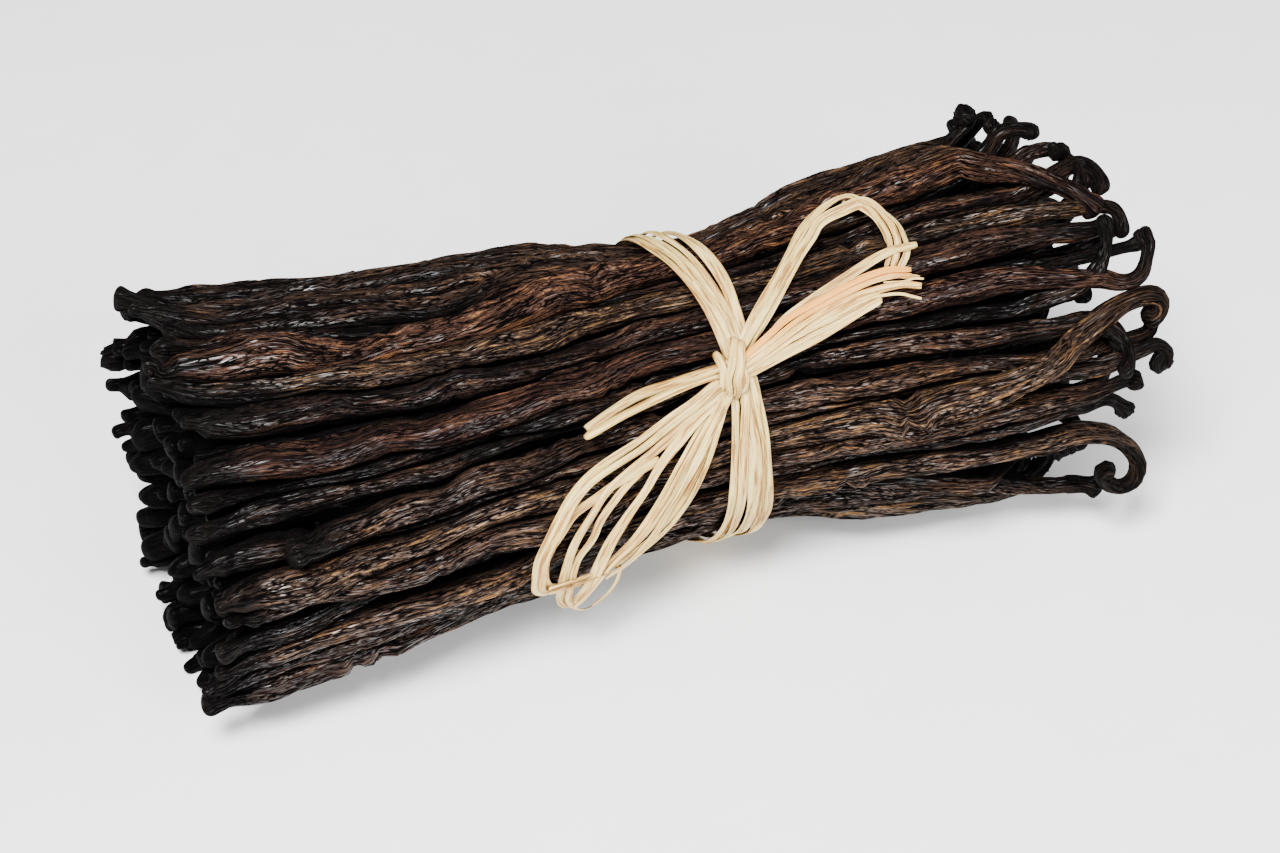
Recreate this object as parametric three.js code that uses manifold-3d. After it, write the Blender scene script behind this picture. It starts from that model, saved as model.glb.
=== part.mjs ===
// A hand-sized bundle of cured vanilla pods, tied round its waist with a raffia bow.
//
// The pods lie along X: blunt tips at -X, hooked stem necks at +X. The bundle rests on its
// underside on Z = 0, and the bow faces -Y and up. Millimetres and degrees throughout.
//
// A place on the bundle is given by x, by theta, its angle round the bundle's axis (0 faces -Y,
// 90 faces up), and by its distance from that axis.

import * as THREE from "three";
import { mergeVertices } from "three/addons/utils/BufferGeometryUtils.js";
import Module from "manifold-3d";

const wasm = await Module();
wasm.setup();

// ---- Driving dimensions ----

const AXIS_HEIGHT = 31; // the bundle's axis above what it lies on
const AXIS_X = 0.61; // moves the whole bundle so that its box is centred on the origin
const AXIS_Y = 0.91;
const SETTLED = 0.75; // the lowest pods' centres stand this share of a radius above the floor
const TIE_X = 10; // where the raffia goes round
const TIE_RADIUS = 25.5; // outside of the pods under the raffia
const TIP_RADIUS = 34.5; // outside of the bundle at the blunt tips
const NECK_RADIUS = 34; // outside of the bundle at the hooked necks
const TIP_SPREAD = 57; // how far from the tie the bundle takes to widen, each way
const NECK_SPREAD = 38;

const TIP_END = -79.5; // mean x of the blunt tips
const TIP_SLANT = 3; // tips on the bow's side stand this much further in, and the far ones out
const NECK_END = 58; // mean x where the necks of the pods that no row describes start to hook
const BOW_SIDE = 40; // theta that faces the bow

const POD_RADIUS = 3.25; // mean radius of a pod
const WAIST_SQUEEZE = 0.2; // share of its radius that a pod loses under the tie
const TIE_REACH = 24; // how far along the pods the tie's pull is felt
const POD_SIDES = 6;
const RING_STEP = 0.3; // each ring of pods is this share nearer the axis than the one outside it
const BACK_PODS = 17; // pods of the outer ring that no row of BOW_SIDE_PODS describes
const INNER_RINGS = [13, 5]; // pods in each ring under the outer one, whose ends stand out
const FINEST = 0.5; // detail smaller than this is smoothed away
const CLEARANCE = 0.35; // gap between the pods and the raffia

// The outer pods on the bow's side, from the top down to the underside. at: theta at each of
// STATIONS. tip and neck: x of the two ends. sink: how far it lies under the bundle's outside.
// rise: how far it climbs over its neighbours before the neck. The curled stem beyond the neck
// goes through the places of curl, as [x, theta, height over the bundle's outside]. Where there
// is no curl, hook has the stem's length, the angle it turns through, and the way it turns, as an
// angle from straight out (0), to towards higher theta (90).
const STATIONS = [-78, -40, 0, 35, 70];
const BOW_SIDE_PODS = [
  { at: [125, 126, 128, 126, 127], tip: -79, neck: 57, sink: 0.5,
    curl: [[63.5, 126, -2.5], [66.5, 124, -1], [68.5, 122, 0.5], [69, 120, -0.5], [68.5, 118, -2.5]] },
  { at: [115, 115, 118, 116, 118], tip: -82, neck: 53, sink: 0.6,
    curl: [[59, 118, -2], [62, 118, -0.5], [64.5, 117, 1], [64, 116, 2.5], [62, 115, 3]] },
  { at: [106, 105, 109, 106, 108], tip: -81, neck: 57, sink: 0.8,
    curl: [[63, 108, -4], [65.5, 107, -2.5], [67, 106, -0.5], [70, 105, -0.5],
      [72.5, 104, -1.5], [73, 103, -2.5]] },
  { at: [97, 94, 104, 97, 98], tip: -77, neck: 60, sink: 0.8,
    curl: [[66, 98, -4.5], [69.5, 97, -3], [73.5, 95, -2.5], [75, 87, -2.5],
      [75, 80, -2.5], [74.5, 75, -3.5]] },
  { at: [90, 87, 89, 90, 83], tip: -80, neck: 64, sink: 2.2,
    curl: [[70, 83, -3], [75.5, 85, -2.5], [77, 82, -2.5], [77.5, 76, -2.5], [76.5, 72, -3.5]] },
  { at: [83, 77, 97, 98, 93], tip: -82, neck: 57, sink: -0.6, rise: 1,
    curl: [[61, 91, -1.5], [65.5, 84.5, -1.2], [69.5, 76.5, -1.2], [72.5, 70, -1.5], [75, 65, -3]] },
  { at: [73, 66.5, 77, 76, 69], tip: -82, neck: 68, sink: 0.4,
    curl: [[75.5, 67, -2.5], [77.5, 65, -2.5], [78, 61, -3], [77.5, 56, -4]] },
  { at: [61, 57, 66, 66, 59], tip: -79, neck: 67, sink: 0.6,
    curl: [[73, 60, -2.5], [76.5, 62, -4], [77.5, 60, -6]] },
  { at: [52, 53, 60, 60, 53], tip: -78, neck: 57, sink: 2,
    curl: [[62.5, 53, -4], [67, 53, -4], [73, 53, -4], [79, 53, -3], [81, 54, -3]] },
  { at: [44.5, 47.5, 54, 53, 45], tip: -81, neck: 66, sink: 0,
    curl: [[71.5, 45, -2.5], [75, 42, -2], [78, 43, -2], [80, 48, -2], [81, 53, -2], [80.5, 57, -2]] },
  { at: [37, 38.5, 45.5, 46, 41], tip: -81, neck: 64, sink: 1.6, hook: [17, 105, 85] },
  { at: [31, 34.5, 38, 38, 33], tip: -82, neck: 66, sink: 1.6, hook: [16, 150, -60] },
  { at: [22.5, 25, 28, 28, 23], tip: -68, neck: 65, sink: -0.4,
    curl: [[71, 23, -6], [76, 23, -6], [79.5, 24, -6], [80.5, 28, -6], [80, 33, -6]] },
  { at: [20.5, 17, 20.5, 20, 18], tip: -82, neck: 70, sink: 1,
    curl: [[76.5, 20, -3], [79.5, 21, -3], [81, 18, -3], [81, 12, -3.5]] },
  { at: [13, 12, 12, 15, 28], tip: -80, neck: 60, sink: 0, rise: 1.8,
    curl: [[65, 28, -1.8], [69, 31.5, -1.8], [73, 35, -2], [77, 36.5, -2], [80, 35.5, -2.4],
      [81, 32.5, -3], [80, 30, -4], [78, 30, -5]] },
  { at: [3.5, 3.5, 3, 4.5, 9], tip: -79, neck: 66, sink: 0,
    curl: [[70.5, 9, -4], [73.5, 10, -4], [75.5, 10, -4], [75.5, 6, -4]] },
  { at: [-8, -5.5, -4.5, -4, 3], tip: -79, neck: 66, sink: 1.4,
    curl: [[71, 3, -5], [73.5, 0, -5], [76, -6, -5]] },
  { at: [-15.5, -14, -13.5, -15, -6], tip: -79, neck: 60, sink: 0,
    curl: [[65.5, -8.5, -4], [70.5, -11, -4.2], [74.5, -16, -4], [77.2, -21, -3], [78.5, -25.5, -1],
      [77.6, -28, 0.8], [75.5, -28.5, 1.6], [73, -27.2, 1.3], [71.4, -24.5, 0.4],
      [71.6, -22, 0], [72.8, -21.5, 1]] },
  { at: [-25, -24, -23, -25, -30], tip: -80, neck: 52, sink: 0.6,
    curl: [[59, -29, -8], [64, -31, -8], [67.5, -30, -7.5], [68, -25.5, -6.5], [67, -21, -6]] },
  { at: [-35, -34, -34, -38, -38], tip: -81, neck: 68, sink: 0.4, hook: [7, 30, 0] },
];
const HOOK_GATHER = 1.35; // above 1 a hook starts gently and curls tighter towards its end
const STEM_RADIUS = 1.5; // of a stem at its end, where it flares by STEM_FLARE
const STEM_FLARE = 0.4;

// The raffia: places on the bundle as [x, theta, height over the pods' outside].
const RAFFIA_THICKNESS = 1.3;
const BAND_WIDTH = 7;
const KNOT = { x: TIE_X - 1.5, theta: 44, radius: 3.1, length: 9 };
const BOW = [
  // the loop above the knot, which stands up a little at its far end
  { width: 3.4, path: [[9, 48, 1], [13, 57, 1.3], [18.5, 67, 1.7], [24.5, 78, 2], [29.5, 87, 2.4],
    [33.5, 90.5, 2.8], [37, 88, 3.2], [39.5, 80, 3], [40.5, 72, 2.6], [38, 66.5, 2.2],
    [32, 64, 1.8], [25, 60.5, 1.6], [18, 54.5, 1.5], [9.5, 45, 1.3]] },
  // the two cut ends
  { width: 4.4, path: [[9, 43.5, 1.5], [17, 49, 2.3], [24.5, 54, 2.9], [32, 57, 3.2],
    [39.5, 57, 3.4]] },
  { width: 2.6, path: [[7, 44, 1.6], [2, 43.5, 2], [-4, 41.5, 2], [-11, 38.5, 2.1],
    [-18, 35, 2]] },
  // the loop below the knot, which hangs over the bundle's shoulder
  { width: 3.2, path: [[7, 41, 1.3], [1.5, 35.5, 1.4], [-6, 29.5, 1.6], [-14.5, 23, 2],
    [-21.5, 15.5, 2.3], [-25.5, 5, 2.5], [-27, -6, 2.8], [-25.5, -15, 3.2], [-21, -19, 3.6],
    [-15, -17, 3.2], [-9.5, -8, 2.6], [-4, 3, 2], [0.5, 18, 1.6], [6.5, 35, 1.4]] },
];

// ---- Curves and sections shared by every pod ----

const radians = (degrees) => (degrees * Math.PI) / 180;
const mix = (a, b, t) => a + (b - a) * t;
const ramp = (a, b, x) => THREE.MathUtils.smoothstep(x, a, b);

// A repeatable number from 0 to 1 for pod number i and question number k.
function dice(i, k) {
  const v = Math.sin(i * 12.9898 + k * 78.233) * 43758.5453;
  return v - Math.floor(v);
}

// Outside radius of the bundle at x: narrowest at the tie, and widening as a bell curve falls off.
function outsideRadius(x) {
  const t = x - TIE_X;
  const bell = (spread) => 1 - Math.exp(-((t / spread) ** 2));
  if (t > 0) return TIE_RADIUS + (NECK_RADIUS - TIE_RADIUS) * bell(NECK_SPREAD);
  const full = 1 - Math.exp(-(((TIP_END - TIE_X) / TIP_SPREAD) ** 2));
  return TIE_RADIUS + ((TIP_RADIUS - TIE_RADIUS) * bell(TIP_SPREAD)) / full;
}

// The point at x, theta and distance from the bundle's axis.
function place(x, theta, distance) {
  const angle = radians(theta);
  const [inFront, up] = [distance * Math.cos(angle), distance * Math.sin(angle)];
  return new THREE.Vector3(AXIS_X + x, AXIS_Y - inFront, AXIS_HEIGHT + up);
}

// Value at x of the smooth curve through the points (xs, ys): a cubic between each two, whose
// slope at a point is that of the line between its neighbours.
function through(xs, ys, x) {
  const last = xs.length - 1;
  let k = 0;
  while (k < last - 1 && x > xs[k + 1]) k++;
  const slope = (j) => {
    const [a, b] = [Math.max(j - 1, 0), Math.min(j + 1, last)];
    return (ys[b] - ys[a]) / (xs[b] - xs[a]);
  };
  const span = xs[k + 1] - xs[k];
  const t = (x - xs[k]) / span;
  if (t < 0) return ys[0];
  if (t > 1) return ys[last];
  const [t2, t3] = [t * t, t * t * t];
  return (
    (2 * t3 - 3 * t2 + 1) * ys[k] + (3 * t2 - 2 * t3) * ys[k + 1] +
    span * ((t3 - 2 * t2 + t) * slope(k) + (t3 - t2) * slope(k + 1))
  );
}

// ---- Which pods there are ----

// Every pod of the outer ring: the described ones, then the far side's, spaced evenly.
function outerPods() {
  const first = BOW_SIDE_PODS[0].at[0];
  const last = BOW_SIDE_PODS[BOW_SIDE_PODS.length - 1].at[0] + 360;
  const far = Array.from({ length: BACK_PODS }, (_, j) => {
    const theta = mix(first, last, (j + 1) / (BACK_PODS + 1)) + 3 * (dice(j, 1) - 0.5);
    return {
      at: STATIONS.map((_x, k) => theta + 5 * (dice(j, 2 + k) - 0.5)),
      tip: slantedTip(theta, 1) + 3 * (dice(j, 8) - 0.5),
      neck: NECK_END - 4 + 8 * dice(j, 9),
      sink: 1.4 * dice(j, 13),
      hook: [11 + 7 * dice(j, 10), 60 + 110 * dice(j, 11), 90 + 180 * dice(j, 12)],
    };
  });
  return [...BOW_SIDE_PODS, ...far];
}

// Mean x of the tips at theta, at this share of the way out from the axis.
function slantedTip(theta, share) {
  return TIP_END + TIP_SLANT * share * Math.cos(radians(theta - BOW_SIDE));
}

// A pod of an inner ring, number i of them all: only its two ends show, so it is a straight one.
function innerPod(i, ring, theta) {
  const share = 1 - (ring + 1) * RING_STEP;
  return {
    at: STATIONS.map(() => theta),
    share,
    tip: slantedTip(theta, share) + 4 * (dice(i, 20) - 0.5),
    neck: NECK_END + 8 * dice(i, 21),
    sink: 0,
    hook: [10 + 7 * dice(i, 22), 50 + 120 * dice(i, 23), 360 * dice(i, 24)],
  };
}

function innerPods() {
  return INNER_RINGS.flatMap((count, ring) =>
    Array.from({ length: count }, (_, j) =>
      innerPod(ring * 40 + j, ring, (360 * (j + 0.5 * (ring % 2))) / count)));
}

// ---- One pod ----

// Centre of a pod at x along its body. The lowest pods are pressed up by the floor.
function bodyPoint(pod, x) {
  const radius = bodyRadius(pod, x);
  const pulledIn = Math.exp(-(((x - TIE_X) / TIE_REACH) ** 2));
  const rise = (pod.rise ?? 0) * ramp(28, 50, x);
  const sink = pod.sink * (pod.sink < 0 ? 1 - pulledIn : 1) - rise;
  const out = outsideRadius(x) - radius - sink;
  const centre = place(x, through(STATIONS, pod.at, x), out * (pod.share ?? 1));
  centre.z = Math.max(centre.z, SETTLED * radius);
  return centre;
}

// Radius of a pod's body: squeezed at the tie, narrowing to a neck and rounded at the tip.
function bodyRadius(pod, x) {
  const waist = 1 - WAIST_SQUEEZE * Math.exp(-(((x - TIE_X) / TIE_REACH) ** 2));
  const toNeck = 1 - 0.36 * ramp(pod.neck - 18, pod.neck, x);
  const atTip = mix(0.5, 1, ramp(0, 8, x - pod.tip));
  return POD_RADIUS * waist * toNeck * atTip;
}

// Stations of a pod from xStart to its hooked end: each has a centre and a radius.
function podStations(pod, bodyXs, hookSteps) {
  const body = bodyXs.map((x) => ({ centre: bodyPoint(pod, x), radius: bodyRadius(pod, x) }));
  return [...body, ...(pod.curl ? curlStations(pod) : hookStations(pod, hookSteps))];
}

// Radius of a stem after this share of its length. Its end flares into the scar where the pod hung.
function stemRadius(pod, share) {
  return mix(bodyRadius(pod, pod.neck), STEM_RADIUS, share) + (share === 1 ? STEM_FLARE : 0);
}

// The stem of a pod whose curl is described, with a station at each of its places.
function curlStations(pod) {
  return pod.curl.map(([x, theta, height], k) => ({
    centre: place(x, theta, outsideRadius(x) + height),
    radius: stemRadius(pod, (k + 1) / pod.curl.length),
  }));
}

// Any other stem: it leaves the body straight on and turns towards its own side, a little more
// with each step.
function hookStations(pod, steps) {
  const [length, turn, side] = pod.hook;
  const x = pod.neck;
  const start = bodyPoint(pod, x);
  const ahead = start.clone().sub(bodyPoint(pod, x - 3)).normalize();
  const theta = through(STATIONS, pod.at, x);
  const outward = place(x, theta, 10).sub(place(x, theta, 0)).normalize();
  const round = new THREE.Vector3(1, 0, 0).cross(outward).normalize();
  const towards = outward.multiplyScalar(Math.cos(radians(side)))
    .addScaledVector(round, -Math.sin(radians(side)));
  towards.addScaledVector(ahead, -towards.dot(ahead)).normalize();
  const stations = [];
  const centre = start.clone();
  for (let k = 1; k <= steps; k++) {
    const angle = radians(turn) * ((k - 0.5) / steps) ** HOOK_GATHER;
    centre.addScaledVector(ahead, (Math.cos(angle) * length) / steps);
    centre.addScaledVector(towards, (Math.sin(angle) * length) / steps);
    const radius = stemRadius(pod, k / steps);
    centre.z = Math.max(centre.z, radius);
    stations.push({ centre: centre.clone(), radius });
  }
  return stations;
}

// ---- Making meshes and solids ----

// A closed cylinder bent along stations, with each ring of it as wide as its station. Its section
// may be stretched across and turned: across gives the direction of its width at each station.
function bentCylinder(stations, sides) {
  const steps = stations.length - 1;
  const curve = new THREE.CatmullRomCurve3(stations.map((s) => s.centre));
  const frames = curve.computeFrenetFrames(steps, false);
  const shape = new THREE.CylinderGeometry(1, 1, 1, sides, steps);
  const at = shape.getAttribute("position");
  const v = new THREE.Vector3();
  for (let i = 0; i < at.count; i++) {
    v.fromBufferAttribute(at, i);
    const k = Math.round((v.y + 0.5) * steps);
    const { centre, radius } = stations[k];
    const [n, b] = [frames.normals[k], frames.binormals[k]];
    const [dx, dz] = [v.x * radius, v.z * radius];
    at.setXYZ(i, centre.x + n.x * dz + b.x * dx, centre.y + n.y * dz + b.y * dx,
      centre.z + n.z * dz + b.z * dx);
  }
  return shape;
}

// A flat strap along a path of points, lying across each point's outward direction.
function bentStrap(points, width, thickness, steps) {
  const curve = new THREE.CatmullRomCurve3(points);
  const shape = new THREE.BoxGeometry(1, 1, 1, 1, 1, steps);
  const at = shape.getAttribute("position");
  const v = new THREE.Vector3();
  for (let i = 0; i < at.count; i++) {
    v.fromBufferAttribute(at, i);
    const t = v.z + 0.5;
    const centre = curve.getPoint(t);
    const ahead = curve.getTangent(t);
    const outward = centre.clone().sub(new THREE.Vector3(centre.x, AXIS_Y, AXIS_HEIGHT)).normalize();
    const across = outward.clone().cross(ahead).normalize();
    const up = ahead.clone().cross(across).normalize();
    centre.addScaledVector(across, v.x * width).addScaledVector(up, v.y * thickness);
    at.setXYZ(i, centre.x, centre.y, centre.z);
  }
  return shape;
}

function toSolid(geometry) {
  const bare = geometry.index ? geometry.toNonIndexed() : geometry.clone();
  bare.deleteAttribute("normal");
  bare.deleteAttribute("uv");
  const merged = mergeVertices(bare, 1e-4);
  const solid = new wasm.Manifold(new wasm.Mesh({
    numProp: 3,
    vertProperties: merged.getAttribute("position").array,
    triVerts: new Uint32Array(merged.index.array),
  }));
  return solid;
}

const union = (solids) => solids.reduce((a, b) => a.add(b));

// The one outer body of a solid, with any space sealed inside it filled.
function filled(solid) {
  return solid.decompose().reduce((a, b) => (b.volume() > a.volume() ? b : a));
}

function toMesh(name, solid, material) {
  const { numProp, vertProperties, triVerts } = solid.getMesh();
  const geometry = new THREE.BufferGeometry();
  const points = new Float32Array((vertProperties.length / numProp) * 3);
  for (let i = 0; i < points.length / 3; i++) {
    points.set(vertProperties.subarray(i * numProp, i * numProp + 3), i * 3);
  }
  geometry.setAttribute("position", new THREE.BufferAttribute(points, 3));
  geometry.setIndex(new THREE.BufferAttribute(triVerts, 1));
  geometry.computeVertexNormals();
  const mesh = new THREE.Mesh(geometry, material);
  mesh.name = name;
  return mesh;
}

// ---- The bundle of pods ----

// The packed middle of the bundle: a lathed waist that every pod is sunk into.
const CORE_TIP = -70;
const CORE_NECK = 60;

function coreSolid(grown) {
  const inside = (x) => outsideRadius(x) - 1.1 * POD_RADIUS + grown;
  const xs = [CORE_TIP, -50, -32, -14, 4, TIE_X, 16, 28, 40, 52, CORE_NECK];
  const profile = xs.map((x) => new THREE.Vector2(inside(x), x));
  const outline = [new THREE.Vector2(0, xs[0]), ...profile, new THREE.Vector2(0, xs.at(-1))];
  const lathed = new THREE.LatheGeometry(outline, 28);
  const at = lathed.getAttribute("position");
  for (let i = 0; i < at.count; i++) {
    const [across, along, up] = [at.getX(i), at.getY(i), at.getZ(i)];
    at.setXYZ(i, AXIS_X + along, AXIS_Y - across, AXIS_HEIGHT + up);
  }
  return toSolid(lathed);
}

// What the bundle rests on: everything above the floor, in a block larger than the bundle.
function aboveFloor(solid) {
  const block = new THREE.BoxGeometry(400, 200, 200);
  block.translate(0, 0, 100);
  return solid.intersect(toSolid(block));
}

// Where the stations of an outer pod stand along its body.
const BODY_XS = [-50, -18, 12, 42];

// The bundle as one solid. grown makes every part of it this much thicker.
function bundleSolid(grown) {
  const grow = (stations) => stations.map((s) => ({ centre: s.centre, radius: s.radius + grown }));
  const outer = outerPods().map((pod) => {
    const xs = [pod.tip, pod.tip + 5, ...BODY_XS, pod.neck];
    const hookSteps = pod.curl ? 0 : Math.max(2, Math.round(pod.hook[1] / 55));
    return toSolid(bentCylinder(grow(podStations(pod, xs, hookSteps)), POD_SIDES));
  });
  const ends = innerPods().flatMap((pod) => {
    const tipEnd = podStations(pod, [pod.tip, CORE_TIP + 2], 0);
    const neckEnd = podStations(pod, [CORE_NECK - 2, pod.neck], 2);
    return [tipEnd, neckEnd].map((end) => toSolid(bentCylinder(grow(end), 5)));
  });
  return filled(aboveFloor(union([coreSolid(grown), ...outer, ...ends])).simplify(FINEST));
}

// ---- The raffia ----

// Places on the bundle as points, this much clear of the pods.
const onBundle = (x, theta, height) => place(x, theta, outsideRadius(x) + height);

// The band round the waist, standing off the pods by the clearance that is cut later.
function bandSolid() {
  const inner = TIE_RADIUS + CLEARANCE + 0.2;
  const outer = inner + RAFFIA_THICKNESS;
  const half = BAND_WIDTH / 2;
  const profile = [[inner, -half], [outer - 0.3, -half], [outer, 0], [outer - 0.3, half], [inner, half],
    [inner, -half]].map(([radius, along]) => new THREE.Vector2(radius, along));
  const band = new THREE.LatheGeometry(profile, 30);
  const at = band.getAttribute("position");
  for (let i = 0; i < at.count; i++) {
    const [across, along, up] = [at.getX(i), at.getY(i), at.getZ(i)];
    at.setXYZ(i, AXIS_X + TIE_X + along, AXIS_Y - across, AXIS_HEIGHT + up);
  }
  return toSolid(band);
}

// The knot: a bead drawn out along the band, bulging from it.
function knotSolid() {
  const bead = new THREE.SphereGeometry(1, 10, 8);
  bead.scale(KNOT.radius * 1.15, KNOT.length / 2, KNOT.radius);
  bead.rotateX(radians(90 - KNOT.theta));
  bead.translate(...onBundle(KNOT.x, KNOT.theta, 1.6).toArray());
  return toSolid(bead);
}

function raffiaSolid() {
  const straps = BOW.map(({ width, path }) => {
    const points = path.map(([x, theta, height]) => onBundle(x, theta, height));
    return toSolid(bentStrap(points, width, RAFFIA_THICKNESS, 3 * (path.length - 1)));
  });
  return union([bandSolid(), knotSolid(), ...straps])
    .simplify(FINEST / 3)
    .subtract(bundleSolid(CLEARANCE));
}

const group = new THREE.Group();
const podFinish = new THREE.MeshStandardMaterial({ color: 0x2b1a14, roughness: 0.45, metalness: 0 });
group.add(toMesh("vanilla_pods", bundleSolid(0), podFinish));
const raffiaFinish = new THREE.MeshStandardMaterial({ color: 0xd9c39b, roughness: 0.6, metalness: 0 });
group.add(toMesh("raffia_bow", raffiaSolid(), raffiaFinish));

export default group;
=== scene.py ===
# %% [markdown]
# # A bundle of vanilla pods, tied with a raffia bow
# About a hundred cured vanilla pods lie side by side, drawn in at the waist by a few turns of
# raffia. The lesson builds them as surfaces worked out with numpy: every pod is one grid of
# points round and along a bent centre line, and every raffia strand is a flat section carried
# along a path. It starts from the packed model, whose two solids hold the same places.

import bpy
import numpy as np
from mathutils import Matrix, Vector


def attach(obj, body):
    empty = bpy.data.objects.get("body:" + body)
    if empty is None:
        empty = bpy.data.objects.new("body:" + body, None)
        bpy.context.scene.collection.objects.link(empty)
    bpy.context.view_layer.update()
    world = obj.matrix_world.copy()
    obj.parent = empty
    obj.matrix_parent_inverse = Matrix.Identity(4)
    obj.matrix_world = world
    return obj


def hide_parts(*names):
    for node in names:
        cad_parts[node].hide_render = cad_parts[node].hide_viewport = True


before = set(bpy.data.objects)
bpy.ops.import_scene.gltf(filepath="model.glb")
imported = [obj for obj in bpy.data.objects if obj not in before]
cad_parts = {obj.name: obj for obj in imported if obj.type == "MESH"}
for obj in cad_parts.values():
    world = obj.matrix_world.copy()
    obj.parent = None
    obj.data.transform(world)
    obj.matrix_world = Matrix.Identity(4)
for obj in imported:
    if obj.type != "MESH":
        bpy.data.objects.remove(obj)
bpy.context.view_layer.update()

# %% [markdown]
# ## The bundle's own measure
# A place on the bundle is given by x, by theta, its angle round the bundle's axis (0 faces the
# front, 90 faces up), and by its distance from that axis. This suits a bundle better than x, y
# and z do, because a pod keeps nearly the same theta from end to end. Lengths are in millimetres
# and angles in degrees until a mesh is written.

# %% The bundle's outline
# the middle of the bundle, and a box that no pod leaves, which fits inside the packed model's
AXIS = np.array([0.61, 0.91, 31.0])
BOX = np.array([[-83.4, -34.7, 0.0], [83.4, 34.7, 65.5]])
# where the tie is, and the bundle's radius there, at the tips and at the necks
TIE_X = 10.0
TIE_RADIUS = 25.5
TIP_RADIUS = 34.5
NECK_RADIUS = 34.0
# how far from the tie the bundle has done most of its widening
TIP_SPREAD = 57.0
NECK_SPREAD = 38.0
# mean x of the tips and of the necks; theta of the bow, and how much further in tips stand there
TIP_END = -79.5
NECK_END = 58.0
BOW_SIDE = 40.0
TIP_SLANT = 3.0


def outside_radius(x):
    """Outside of the bundle at x: narrowest at the tie, widening as a bell curve falls off."""
    t = np.asarray(x, float) - TIE_X
    full = 1 - np.exp(-(((TIP_END - TIE_X) / TIP_SPREAD) ** 2))
    to_tips = (TIP_RADIUS - TIE_RADIUS) * (1 - np.exp(-((t / TIP_SPREAD) ** 2))) / full
    to_necks = (NECK_RADIUS - TIE_RADIUS) * (1 - np.exp(-((t / NECK_SPREAD) ** 2)))
    return TIE_RADIUS + np.where(t > 0, to_necks, to_tips)


def outward(theta):
    """Unit vectors straight out from the bundle's axis at theta."""
    angle = np.radians(np.asarray(theta, float))
    return np.stack([0 * angle, -np.cos(angle), np.sin(angle)], -1)


def place(x, theta, distance):
    """Points at x, theta and distance from the axis."""
    x, theta, distance = np.broadcast_arrays(x, theta, distance)
    along = np.stack([x, 0 * x, 0 * x], -1)
    return AXIS + along + outward(theta) * distance[..., None]


print("across the waist", 2 * TIE_RADIUS, "across the tips", 2 * TIP_RADIUS)

# %% [markdown]
# ## Small tools
# The same few sums come back in every shape: directions of length one, scalar products, a soft
# step, and smooth curves through given places. They all work on whole arrays at once.


# %% Vectors, soft steps and smooth curves
def unit(vectors):
    """The same directions with length one."""
    return vectors / np.linalg.norm(vectors, axis=-1, keepdims=True)


def dot(a, b):
    """Scalar products of two arrays of vectors."""
    return np.sum(a * b, -1)


def ramp(low, high, x):
    """0 up to low and 1 from high on, with 3t^2 - 2t^3 between. It falls if low is the larger."""
    t = np.clip((x - low) / (high - low), 0, 1)
    return t * t * (3 - 2 * t)


def through(stations, values, x):
    """The smooth curve through (stations, values), read at x, row by row.

    Between two stations it is the cubic whose slope at each is that of the line joining its
    neighbours. Beyond the ends it keeps the last value.
    """
    stations, values = np.asarray(stations, float), np.asarray(values, float)
    last = len(stations) - 1
    before = np.maximum(np.arange(last + 1) - 1, 0)
    after = np.minimum(np.arange(last + 1) + 1, last)
    slopes = (values[..., after] - values[..., before]) / (stations[after] - stations[before])
    k = np.clip(np.searchsorted(stations, x) - 1, 0, last - 1)
    span = stations[k + 1] - stations[k]
    t = np.clip((x - stations[k]) / span, 0, 1)

    def pick(table, index):
        return np.take_along_axis(np.broadcast_to(table, x.shape[:-1] + (last + 1,)), index, -1)

    t2, t3 = t * t, t * t * t
    here, there = pick(values, k), pick(values, k + 1)
    rise, fall = pick(slopes, k), pick(slopes, k + 1)
    curve = (2 * t3 - 3 * t2 + 1) * here + (3 * t2 - 2 * t3) * there
    return curve + span * ((t3 - 2 * t2 + t) * rise + (t3 - t2) * fall)


def curve_through(corners, spacing=0.6):
    """Points every so many mm along the smooth curve through the corners."""
    gaps = np.linalg.norm(np.diff(corners, axis=0), axis=-1)
    reached = np.concatenate([[0], np.cumsum(gaps)])
    count = int(reached[-1] / spacing) + 2
    at = np.broadcast_to(np.linspace(0, reached[-1], count), (3, count))
    return through(reached, corners.T, at).T, at[0]


print("a soft step", ramp(0, 1, np.linspace(0, 1, 5)).tolist())

# %% [markdown]
# ## Chance that repeats
# No two pods are alike, so much is left to chance, but the bundle must come out the same at every
# run. A fractional sine gives such numbers from a count, with no state to keep. Smooth chance,
# for wrinkles and lumps, puts one such number on each crossing of a grid that wraps round the pod
# and blends between them.


# %% Chance and smooth chance
def dice(i, k):
    """A repeatable number from 0 to 1 for thing i and question k."""
    v = np.sin(np.asarray(i) * 12.9898 + np.asarray(k) * 78.233) * 43758.5453
    return v - np.floor(v)


def wander(thing, around, along, cells, length, seed):
    """Smooth chance from 0 to 1: so many grid cells to a turn, each so many mm long.

    Between crossings the blend is 3t^2 - 2t^3 both ways. around is in radians.
    """
    u = around / (2 * np.pi) * cells
    v = along / length
    i, j = np.floor(u), np.floor(v)
    fu, fv = ramp(0, 1, u - i), ramp(0, 1, v - j)

    def crossing(a, b):
        return dice(np.mod(a, cells) * 1.713 + b * 3.117 + thing * 7.331, seed)

    low = crossing(i, j) * (1 - fu) + crossing(i + 1, j) * fu
    high = crossing(i, j + 1) * (1 - fu) + crossing(i + 1, j + 1) * fu
    return low * (1 - fv) + high * fv


def sway(thing, along, length, seed):
    """Smooth chance from -0.5 to 0.5 along a line, with so many mm to a swing."""
    return wander(thing, 0 * along, along, 1, length, seed) - 0.5


print("three throws", np.round(dice(np.arange(3), 5), 3))

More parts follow.
